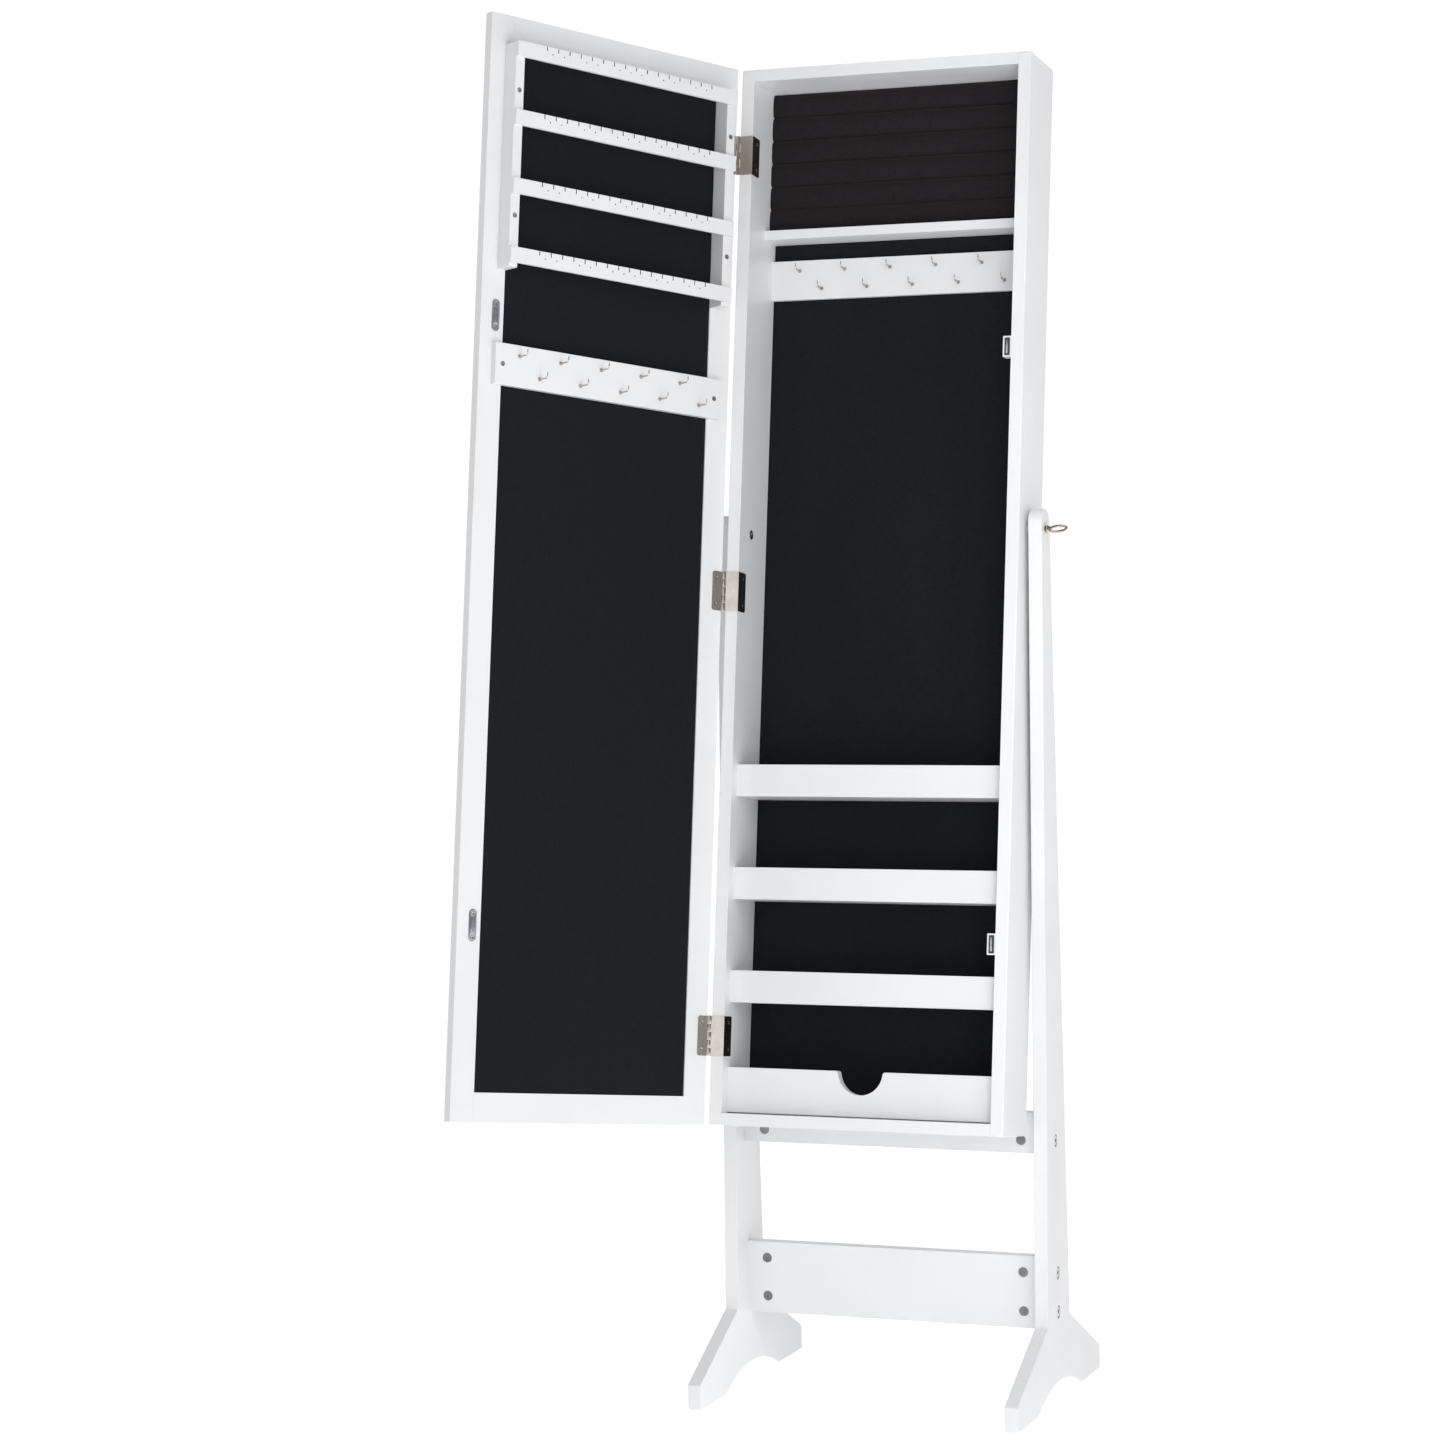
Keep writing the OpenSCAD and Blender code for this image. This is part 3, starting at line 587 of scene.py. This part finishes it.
def shaded_bores(made, node):
    """Gives the walls of a bar's holes and slits the dark bare-board colour: bare fibreboard, made darker as
    painted shade.
    """
    low, high = span(node)
    inverse = place_of(node).inverted()
    margin = 0.3 * MM
    for polygon in made.data.polygons:
        centre = inverse @ polygon.center
        if all(low[axis] + margin < centre[axis] < high[axis] - margin for axis in range(3)):
            polygon.material_index = BARE_SHADED


def shaded_recesses(made, node):
    """Gives the walls of a leg's bolt recesses the dark bare-board colour: painted shade in the recesses."""
    low, high = span(node)
    inverse = place_of(node).inverted()
    margin = 1.3 * MM
    deepest = 5 * MM
    for polygon in made.data.polygons:
        across = [(inverse @ made.data.vertices[index].co).x for index in polygon.vertices]
        inside = low.x + margin < sum(across) / len(across) < high.x - margin
        if inside and max(across) - min(across) < deepest:
            polygon.material_index = BARE_SHADED


def lacquered_boards():
    """Every board of the stand, cabinet and door, with eased edges."""
    for body, boards in BOARDS.items():
        for node in boards:
            radius = THIN_BOARD_RADIUS if node in THIN_BOARDS else BOARD_RADIUS
            board = eased(node, radius, BOARD_LOOK, "white_lacquer", beside=boards)
            if node in LEGS:
                shaded_recesses(board, node)
    for node in RACK_BARS:
        bar = eased(node, BAR_RADIUS, BOARD_LOOK, "white_lacquer", smallest=4 * MM)
        shaded_bores(bar, node)


# ---- Felt linings and the ring cushion ----

def ruled(length, border, step):
    """Grid lines across a panel: the border's own lines at both ends, and even ones between."""
    count = max(1, round((length - 2 * border[-1]) / step))
    middle = [border[-1] + (length - 2 * border[-1]) * index / count for index in range(1, count)]
    return border + middle + [length - value for value in reversed(border)]


def lining_panel(node, name):
    """A felt-covered panel: soft rounded borders and a hardly visible waviness."""
    low, high = span(node)
    front = high.y if BODY_OF[node] == "door" else low.y
    back = low.y if BODY_OF[node] == "door" else high.y
    thickness = abs(front - back)
    roll = 2.6 * MM
    border = [0, 0.15 * MM, 0.5 * MM, 1.0 * MM, 1.7 * MM, roll, 4 * MM]
    columns = ruled(high.x - low.x, border, 14 * MM)
    rows = ruled(high.z - low.z, border, 16 * MM)
    wave = 0.12 * MM

    def depth(x, z):
        nearest = min(x, high.x - low.x - x, z, high.z - low.z - z)
        share = min(1.0, nearest / roll)
        rise = math.sqrt(max(0.0, 1 - (1 - share) ** 2))
        swell = noise.noise(Vector((x * 9, z * 7, 3.7))) * wave * share
        return front + (back - front) * (1 - rise) * 0.95 + math.copysign(1, back - front) * (
            wave + swell
        )

    bm = bmesh.new()
    place = place_of(node)
    grid = [
        [bm.verts.new(place @ Vector((low.x + x, depth(x, z), low.z + z))) for x in columns]
        for z in rows
    ]
    rear = [
        [bm.verts.new(place @ Vector((x, back, z))) for x in (low.x, high.x)]
        for z in (low.z, high.z)
    ]
    for below, above in zip(grid, grid[1:]):
        for index in range(len(columns) - 1):
            bm.faces.new((below[index], below[index + 1], above[index + 1], above[index]))
    bm.faces.new((rear[0][0], rear[1][0], rear[1][1], rear[0][1]))
    bm.faces.new([rear[0][0], rear[0][1], *reversed(grid[0])])
    bm.faces.new([rear[1][1], rear[1][0], *grid[-1]])
    bm.faces.new([rear[1][0], rear[0][0], *[row[0] for row in grid]])
    bm.faces.new([rear[0][1], rear[1][1], *[row[-1] for row in reversed(grid)]])
    bmesh.ops.recalc_face_normals(bm, faces=bm.faces)
    piece(name, bm, [FELT], BODY_OF[node], "black_felt", node, crease=60.0)


ROLL_COUNT = 6
ROLL_SWELL = 3.2 * MM
ROLL_START = 0.88
ROLL_PRESSED = 1.16
ROLL_EXTENT = 1.04
CLOTH_FRAMES = 20
CLOTH_PRESSURE = 4.0
VOXEL = 4.5 * MM


def roll_block(length, depth, height):
    """Plain rounded block that the ring cushion's roll is inflated from."""
    bm = bmesh.new()
    bmesh.ops.create_cube(bm, size=1.0)
    bmesh.ops.scale(bm, vec=(length, depth, height), verts=bm.verts)
    rounded(bm, 3 * MM, 3)
    return linked("roll_block", mesh_of("roll_block", bm))


def applied(made):
    """Turns an object's modifiers into its mesh."""
    graph = bpy.context.evaluated_depsgraph_get()
    mesh = bpy.data.meshes.new_from_object(made.evaluated_get(graph))
    made.modifiers.clear()
    made.data = mesh


def inflated(made):
    """Swells a block by cloth pressure, no point moving further than the cap."""
    remesh = made.modifiers.new("remesh", "REMESH")
    remesh.mode = "VOXEL"
    remesh.voxel_size = VOXEL
    applied(made)
    start = np.array([vertex.co for vertex in made.data.vertices])
    scene = bpy.context.scene
    cloth = made.modifiers.new("cloth", "CLOTH")
    cloth.settings.quality = 6
    cloth.settings.mass = 0.2
    cloth.settings.use_pressure = True
    cloth.settings.uniform_pressure_force = CLOTH_PRESSURE
    cloth.settings.effector_weights.gravity = 0
    cloth.settings.tension_stiffness = 12
    cloth.settings.bending_stiffness = 0.3
    for number in range(1, CLOTH_FRAMES + 1):
        scene.frame_set(number)
    applied(made)
    scene.frame_set(1)
    moved = np.array([vertex.co for vertex in made.data.vertices]) - start
    length = np.linalg.norm(moved, axis=1, keepdims=True)
    capped = start + moved * np.minimum(1, ROLL_SWELL / np.maximum(length, 1e-9))
    made.data.vertices.foreach_set("co", capped.astype(np.float32).ravel())
    subdivision = made.modifiers.new("finer", "SUBSURF")
    subdivision.levels = 1
    subdivision.render_levels = 1
    applied(made)
    return np.array([vertex.co for vertex in made.data.vertices])


def ring_cushion():
    """Velvet rolls pressed side by side between the top shelf and the top board."""
    low, high = span("ring_cushion")
    pitch = (high.z - low.z) / ROLL_COUNT
    length, depth = high.x - low.x, high.y - low.y
    block = roll_block(length, ROLL_START * depth, pitch - 1 * MM)
    points = inflated(block)
    polygons = [tuple(polygon.vertices) for polygon in block.data.polygons]
    bpy.data.objects.remove(block)
    middle_y = high.y - ROLL_START * depth / 2
    crown = 0.3 * MM
    slack = 0.05 * MM
    dent = Vector((-8 * MM, 0, low.z + 36.5 * MM))
    dent_width, dent_depth = 3.2 * MM, 4.5 * MM
    place = place_of("ring_cushion")
    bm = bmesh.new()
    for roll in range(ROLL_COUNT):
        centre_z = low.z + (roll + 0.5) * pitch
        mirrored = -1 if roll % 2 else 1
        corners = []
        for x, y, z in points:
            x *= mirrored * ROLL_EXTENT
            z *= ROLL_PRESSED
            wrinkle = noise.noise(Vector((x * 26 + 5 * roll, y * 40, z * 60 + 9 * roll)))
            y += middle_y + 0.35 * MM * wrinkle
            across = min(1.0, abs(z) / (pitch / 2))
            if y < middle_y:
                y += crown * across ** 3
            z = max(-pitch / 2 + slack, min(pitch / 2 - slack, z)) + centre_z
            x = max(-length / 2, min(length / 2, x)) + (low.x + high.x) / 2
            near = ((x - dent.x) ** 2 + (z - dent.z) ** 2) / dent_width ** 2
            if y < middle_y:
                y += dent_depth * math.exp(-near)
            y = max(low.y - 0.6 * MM, min(high.y, y))
            corners.append(bm.verts.new(place @ Vector((x, y, z))))
        for polygon in polygons:
            face = [corners[index] for index in polygon]
            bm.faces.new(face if mirrored > 0 else list(reversed(face)))
    made = piece(
        "ring_cushion_rolls", bm, [VELVET], "cabinet", "dark_velvet", "ring_cushion", crease=80.0
    )


# ---- Hooks ----

HOOK_WIRE = 1.0 * MM
HOOK_BEND = 3.4 * MM
HOOK_SLIM = 0.6
HOOK_TIP = 0.8


def hook(bm, face_y, outward, box, place):
    """One hook: turned collar, straight shank, round bend and a slim tip that leans out."""
    low, high = box
    collar = (high.x - low.x) / 2
    centre_x, centre_z = (low.x + high.x) / 2, low.z + collar
    reach = (high.y - low.y) - HOOK_WIRE
    tip_z = HOOK_TIP * (high.z - centre_z - HOOK_WIRE)
    profile = [
        (0, collar * 0.8), (0.1 * MM, collar), (0.6 * MM, collar), (1.1 * MM, collar * 0.92),
        (1.6 * MM, collar * 0.72), (2.1 * MM, HOOK_WIRE * 1.35), (2.8 * MM, HOOK_WIRE * 1.05),
    ]
    base = Matrix.Translation((centre_x, face_y, centre_z)) @ facing((0, outward, 0))
    turned(bm, profile, place @ base, sides=24)

    def point(along, rise):
        return Vector((centre_x, face_y + outward * along, centre_z + rise))

    straight = reach - HOOK_BEND
    path = [point(0.5 * MM, 0), point(straight * 0.6, 0)]
    turns = 8
    for step in range(turns + 1):
        angle = math.pi / 2 * step / turns
        along = straight + HOOK_BEND * math.sin(angle)
        path.append(point(along, HOOK_BEND * (1 - math.cos(angle))))
    lean_out = 0.35 * MM
    path.append(point(reach + lean_out * 0.4, tip_z * 0.7))
    path.append(point(reach + lean_out, tip_z))
    points, radii = round_end(path, HOOK_WIRE)
    slimming = [1.0, 1.0] + [HOOK_SLIM + (1 - HOOK_SLIM) * 0.5] * (turns + 1)
    slimming += [HOOK_SLIM] * (len(points) - len(slimming))
    radii = [radius * share for radius, share in zip(radii, slimming)]
    tube(bm, [place @ corner for corner in points], radii)


def hooks(node, name):
    """A row of hooks in place of a CAD node's plain ones."""
    outward = 1 if BODY_OF[node] == "door" else -1
    bm = bmesh.new()
    for box in solids(node):
        face_y = box[0].y if outward > 0 else box[1].y
        hook(bm, face_y, outward, box, place_of(node))
    # The collar, shank and bend take the darker nickel as a painted dark reflection; only the tip keeps the plain
    # nickel.
    materials = [DARK_NICKEL, NICKEL]
    made = piece(name, bm, materials, BODY_OF[node], "champagne_nickel", node, crease=50.0)
    low, high = span(node)
    tip_start = (high.y if outward > 0 else low.y) - outward * 3 * HOOK_WIRE
    inverse = place_of(node).inverted()
    for polygon in made.data.polygons:
        if outward * ((inverse @ polygon.center).y - tip_start) > 0:
            polygon.material_index = 1


# ---- Pivot hardware ----

RING_WIRE = 1.6 * MM
RING_ROLL = math.radians(20)
NECK_SWELL = 0.12
NECK_SPREAD = 0.25


def pivot_washers():
    """Domed washers under the thumb screws, drawn as whole discs without their bores."""
    bm = bmesh.new()
    for low, high in solids("pivot_washers"):
        side = 1 if low.x > 0 else -1
        radius = (high.z - low.z) / 2
        thickness = high.x - low.x
        face_x = low.x if side > 0 else high.x
        centre_z = (low.z + high.z) / 2
        dome = [
            (0, radius), (0.3 * thickness, radius), (0.55 * thickness, radius * 0.93),
            (0.85 * thickness, radius * 0.78), (thickness, radius * 0.62),
            (thickness, radius * 0.45),
        ]
        place = Matrix.Translation((face_x, 0, centre_z)) @ facing((side, 0, 0))
        turned(bm, dome, PLACES["stand"] @ place, sides=48)
    piece("pivot_washers_domed", bm, [POLISHED], "stand", "champagne_nickel", "pivot_washers")


def thumb_screw(side_name, side):
    """Thumb screw with a turned neck and a cast ring, about the pivot axis."""
    node = f"thumb_screw_{side_name}"
    low, high = span(node)
    washer = [box for box in solids("pivot_washers") if (box[0].x > 0) == (side > 0)][0]
    washer_face = washer[1].x if side > 0 else washer[0].x
    clearance = 0.3 * MM
    seat = abs(washer_face) + clearance
    centre_z = (low.z + high.z) / 2
    ring = ((high.y - low.y) / 2 - RING_WIRE) / math.cos(RING_ROLL)
    outer = high.x if side > 0 else -low.x
    ring_x = outer - RING_WIRE - ring
    inner = -high.x if side < 0 else low.x
    shank = 3.0 * MM
    neck = ring_x - ring
    profile = [
        (inner, shank * 0.7), (inner + 1 * MM, shank), (seat - 0.2 * MM, shank), (seat, 4.2 * MM),
        (seat + 0.3 * MM, 4.6 * MM), (seat + 1.2 * MM, 4.6 * MM), (seat + 1.6 * MM, 4.1 * MM),
        (seat + 2.2 * MM, 3.4 * MM), (seat + 3.0 * MM, 3.1 * MM), (neck + 0.4 * MM, 3.0 * MM),
        (neck + 1.2 * MM, 2.5 * MM), (neck + 1.8 * MM, 1.6 * MM), (neck + 2.1 * MM, 0),
    ]
    bm = bmesh.new()
    place = PLACES["stand"] @ Matrix.Translation((0, 0, centre_z)) @ facing((side, 0, 0))
    turned(bm, profile, place, sides=40)
    steps = 64
    roll = Matrix.Rotation(RING_ROLL, 4, "X")
    centre = Matrix.Translation((side * ring_x, 0, centre_z)) @ roll
    angles = [2 * math.pi * step / steps for step in range(steps)]
    path = [
        PLACES["stand"] @ centre @ Vector((ring * math.cos(a), ring * math.sin(a), 0))
        for a in angles
    ]
    swelling = [
        RING_WIRE * (1 + NECK_SWELL * math.exp(-((math.cos(a) + side) / NECK_SPREAD) ** 2))
        for a in angles
    ]
    tube(bm, path, swelling, sides=20, closed=True)
    body = f"thumb_{side_name}"
    piece(f"{node}_turned", bm, [POLISHED], body, "champagne_nickel", node, crease=50.0)


def hinge_pins():
    """Hinge pins with small domed heads."""
    bm = bmesh.new()
    for low, high in solids("hinge_pins"):
        radius = (high.x - low.x) / 2
        head = 1.7 * radius
        tall = 0.7 * MM
        bottom, top = low.z, high.z
        half = [
            (0, radius), (0, head), (0.5 * tall, head * 0.9), (0.85 * tall, head * 0.55), (tall, 0),
        ]
        profile = [(bottom - along, r) for along, r in reversed(half)]
        profile += [(top + along, r) for along, r in half]
        centre = Matrix.Translation(((low.x + high.x) / 2, (low.y + high.y) / 2, 0))
        turned(bm, profile, PLACES["cabinet"] @ centre, sides=24)
    piece("hinge_pins_domed", bm, [NICKEL], "cabinet", "champagne_nickel", "hinge_pins")


# ---- Small fittings ----

HINGE_LEAVES = [
    f"{side}_leaf_{level}" for side in ("cabinet", "door") for level in ("top", "middle", "bottom")
]


def fittings():
    """Hinge leaves, screws, strikes, catches, inserts and spacers, with eased edges."""
    for node in HINGE_LEAVES:
        eased(node, 0.22 * MM, [NICKEL], "champagne_nickel", smallest=6 * MM)
    for node in ("cabinet_hinge_screws", "door_hinge_screws"):
        eased(node, 0.1 * MM, [NICKEL], "champagne_nickel", smallest=1.5 * MM)
    for node in ("rack_screws", "hook_bar_screws", "strike_screws"):
        eased(node, 0.12 * MM, [BOLT], "zinc_steel", smallest=1.5 * MM)
    for node in ("catch_upper", "catch_lower"):
        eased(node, 0.45 * MM, [WHITE_PLASTIC], "white_plastic", smallest=4 * MM)
    eased("rail_bolts", 0.9 * MM, [BOLT], "zinc_steel", smallest=8 * MM)
    eased("pivot_inserts", 0.25 * MM, [ZINC], "zinc_steel", smallest=4 * MM)
    eased("pivot_spacers", 0.3 * MM, [GREY_PLASTIC], "grey_plastic", smallest=8 * MM)
    eased("mirror_backing", 0.3 * MM, [HARDBOARD], "hardboard")


def barrel_nuts():
    """Cross dowels whose front ends show two shallow rings."""
    bm = bmesh.new()
    for low, high in solids("barrel_nuts"):
        radius = (high.x - low.x) / 2
        length = high.y - low.y
        profile = [
            (0, radius * 0.9), (0.4 * MM, radius), (length - 0.45 * MM, radius),
            (length - 0.1 * MM, radius * 0.93), (length, radius * 0.84), (length, radius * 0.68),
            (length - 0.35 * MM, radius * 0.62), (length - 0.35 * MM, radius * 0.5),
            (length, radius * 0.44), (length, radius * 0.26), (length - 0.5 * MM, radius * 0.2),
            (length - 0.6 * MM, 0),
        ]
        start = Matrix.Translation(((low.x + high.x) / 2, high.y, (low.z + high.z) / 2))
        turned(bm, profile, PLACES["stand"] @ start @ facing((0, -1, 0)), sides=40)
    piece("barrel_nuts_turned", bm, [DARK_STEEL], "stand", "zinc_steel", "barrel_nuts", crease=35.0)


BOX_LOOPS = [
    (0, 1, 3, 2), (4, 6, 7, 5), (0, 4, 5, 1), (2, 3, 7, 6), (0, 2, 6, 4), (1, 5, 7, 3),
]


def box_faces(bm, low, high, place, material_index=0):
    """Adds a closed box between two corners of a place."""
    corners = [
        bm.verts.new(place @ Vector((x, y, z)))
        for x in (low[0], high[0]) for y in (low[1], high[1]) for z in (low[2], high[2])
    ]
    for loop in BOX_LOOPS:
        face = bm.faces.new([corners[index] for index in loop])
        face.material_index = material_index


def catch_magnets():
    """Dark magnets with a bright pole bar along the middle of each."""
    bm = bmesh.new()
    place = PLACES["cabinet"]
    sunk = 1.8 * MM
    bar_w, bar_h = 2.4 * MM, 16 * MM
    for low, high in solids("catch_magnets"):
        middle_x, middle_z = (low.x + high.x) / 2, (low.z + high.z) / 2
        box_faces(bm, (low.x, low.y + sunk, low.z), high, place, 1)
        bar_low = (middle_x - bar_w / 2, low.y, middle_z - bar_h / 2)
        bar_high = (middle_x + bar_w / 2, low.y + sunk + 1 * MM, middle_z + bar_h / 2)
        box_faces(bm, bar_low, bar_high, place, 0)
    rounded(bm, 0.25 * MM, 2)
    piece("catch_magnets_and_poles", bm, [BOLT, FERRITE], "cabinet", "zinc_steel", "catch_magnets")


def strike_plate(node):
    """Pressed strike plate: eased stadium with three ribs between its screws."""
    eased(node, 0.3 * MM, [ZINC], "zinc_steel", smallest=8 * MM)
    low, high = span(node)
    middle_x = (low.x + high.x) / 2
    middle_z = (low.z + high.z) / 2
    boss_front = high.y
    rib_w, rib_h, rib_rise = 0.9 * MM, 17 * MM, 0.35 * MM
    bm = bmesh.new()
    for offset in (-1.6 * MM, 0, 1.6 * MM):
        corner = (middle_x + offset - rib_w / 2, boss_front - 0.2 * MM, middle_z - rib_h / 2)
        far = (middle_x + offset + rib_w / 2, boss_front + rib_rise, middle_z + rib_h / 2)
        box_faces(bm, corner, far, PLACES["door"])
    rounded(bm, 0.3 * MM, 3)
    piece(f"{node}_ribs", bm, [ZINC], "door", "zinc_steel")


def mirror():
    """Mirror glass: silvered on its outer face, with a ground edge."""
    made = eased("mirror_glass", 0.8 * MM, [GLASS_EDGE, GLASS_EDGE], "mirror_glass")
    outward = PLACES["door"].to_3x3() @ Vector((0, -1, 0))
    made.data.materials.append(MIRROR)
    for polygon in made.data.polygons:
        if polygon.normal.dot(outward) > 0.999:
            polygon.material_index = 2


# ---- Stage ----

STAGE_FLOOR = (0.9, 0.9, 0.9)
CAMERA_OFFSET = Vector((1.4083, -4.0570, 1.0250))
CAMERA_YAW = math.radians(21.66)
CAMERA_PITCH = math.radians(-3.18)
CAMERA_ROLL = math.radians(-1.27)
CAMERA_LENS = 92.2
CAMERA_SENSOR = 36
FAR = 60
FLOOR_HALF = 30
SKY_LEFT, SKY_RIGHT, SKY_ABOVE = 0.32, 0.1, 0.75
WALL_BRIGHT, WALL_DARK = 0.95, 0.16
# Name, position, target, size and power of each lamp, in metres from the stand and watts
LAMPS = [
    ("key", (-2.2, -3.4, 2.6), (0, 0, 0.9), (2.2, 2.2), 8),
    ("fill", (1.45, -1.25, 1.4), (-0.1, 0, 1.0), (0.8, 1.4), 5.8),
    ("card", (0.55, -0.9, 1.0), (-0.1, 0, 1.0), (0.3, 1.6), 5.2),
]


def camera():
    """Camera in front of the armoire and to its right, looking slightly down."""
    data = bpy.data.cameras.new("camera")
    data.lens = CAMERA_LENS
    data.sensor_width = CAMERA_SENSOR
    data.clip_end = FAR
    made = linked("camera", data)
    aim = (
        Matrix.Rotation(CAMERA_YAW, 4, "Z")
        @ Matrix.Rotation(math.pi / 2 + CAMERA_PITCH, 4, "X")
        @ Matrix.Rotation(CAMERA_ROLL, 4, "Z")
    )
    made.matrix_world = Matrix.Translation(PLACES["stand"].translation + CAMERA_OFFSET) @ aim
    bpy.context.scene.camera = made


def floor():
    """Wide pale floor that the armoire stands on."""
    bm = bmesh.new()
    bmesh.ops.create_grid(bm, x_segments=1, y_segments=1, size=FLOOR_HALF)
    mesh = mesh_of("floor", bm)
    made = linked("floor", mesh)
    pale = material("pale_floor", Roughness=0.9, Specular_IOR_Level=0.1, Emission_Strength=0.6)
    bsdf = pale.node_tree.nodes["Principled BSDF"]
    bsdf.inputs["Base Color"].default_value = (*STAGE_FLOOR, 1)
    bsdf.inputs["Emission Color"].default_value = (1, 1, 1, 1)
    mesh.materials.append(pale)


def softbox(name, position, target, size, power):
    """A soft rectangular lamp aimed at a point. Both points are measured from the stand."""
    data = bpy.data.lights.new(name, "AREA")
    data.shape = "RECTANGLE"
    data.size, data.size_y = size
    data.energy = power
    made = linked(name, data)
    place = PLACES["stand"].translation
    direction = Vector(target) - Vector(position)
    made.location = place + Vector(position)
    made.rotation_euler = direction.to_track_quat("-Z", "Y").to_euler()
    made.visible_camera = False
    made.visible_glossy = False


def picked(tree, choice, first, second):
    """The smaller or larger of two values. Returns the value socket."""
    made = tree.nodes.new("ShaderNodeMath")
    made.operation = choice
    tree.links.new(first, made.inputs[0])
    tree.links.new(second, made.inputs[1])
    return made.outputs[0]


def studio():
    """White surroundings, brighter at the left and above, with soft lamps in front.

    Glossy rays meet dark walls above and at the front right, so that metal shows contrast.
    """
    world = bpy.data.worlds.new("studio")
    bpy.context.scene.world = world
    world.use_nodes = True
    tree = world.node_tree
    around = tree.nodes["Background"]
    around.inputs["Color"].default_value = (0.98, 0.99, 1, 1)
    seen = add(tree, "ShaderNodeBackground", Color=(1, 1, 1, 1), Strength=1.05)
    mirrored = add(tree, "ShaderNodeBackground", Color=(0.97, 0.98, 1, 1))
    direction = tree.nodes.new("ShaderNodeTexCoord")
    split = tree.nodes.new("ShaderNodeSeparateXYZ")
    tree.links.new(direction.outputs["Generated"], split.inputs["Vector"])
    across = spread(tree, split.outputs["X"], SKY_LEFT, SKY_RIGHT, -0.6, 0.6)
    above = spread(tree, split.outputs["Z"], SKY_RIGHT, SKY_ABOVE, 0.2, 0.9)
    tree.links.new(picked(tree, "MAXIMUM", across, above), around.inputs["Strength"])
    sides = spread(tree, split.outputs["X"], WALL_BRIGHT, WALL_DARK, -0.15, 0.35)
    depth = spread(tree, split.outputs["Y"], WALL_DARK, WALL_BRIGHT, -0.3, 0.7)
    lid = spread(tree, split.outputs["Z"], WALL_BRIGHT, WALL_DARK, 0.25, 0.6)
    walls = picked(tree, "MINIMUM", picked(tree, "MAXIMUM", sides, depth), lid)
    tree.links.new(walls, mirrored.inputs["Strength"])
    path = tree.nodes.new("ShaderNodeLightPath")
    first = tree.nodes.new("ShaderNodeMixShader")
    tree.links.new(path.outputs["Is Glossy Ray"], first.inputs["Fac"])
    tree.links.new(around.outputs["Background"], first.inputs[1])
    tree.links.new(mirrored.outputs["Background"], first.inputs[2])
    second = tree.nodes.new("ShaderNodeMixShader")
    tree.links.new(path.outputs["Is Camera Ray"], second.inputs["Fac"])
    tree.links.new(first.outputs["Shader"], second.inputs[1])
    tree.links.new(seen.outputs["Background"], second.inputs[2])
    tree.links.new(second.outputs["Shader"], tree.nodes["World Output"].inputs["Surface"])
    for lamp in LAMPS:
        softbox(*lamp)
    bpy.context.scene.view_settings.view_transform = "Standard"


# ---- Assembly ----

lacquered_boards()
lining_panel("back_lining", "back_lining_felt")
lining_panel("door_lining", "door_lining_felt")
ring_cushion()
hooks("cabinet_hooks", "cabinet_hooks_bent")
hooks("door_hooks", "door_hooks_bent")
pivot_washers()
thumb_screw("left", -1)
thumb_screw("right", 1)
hinge_pins()
fittings()
barrel_nuts()
catch_magnets()
strike_plate("strike_upper")
strike_plate("strike_lower")
mirror()
camera()
floor()
studio()
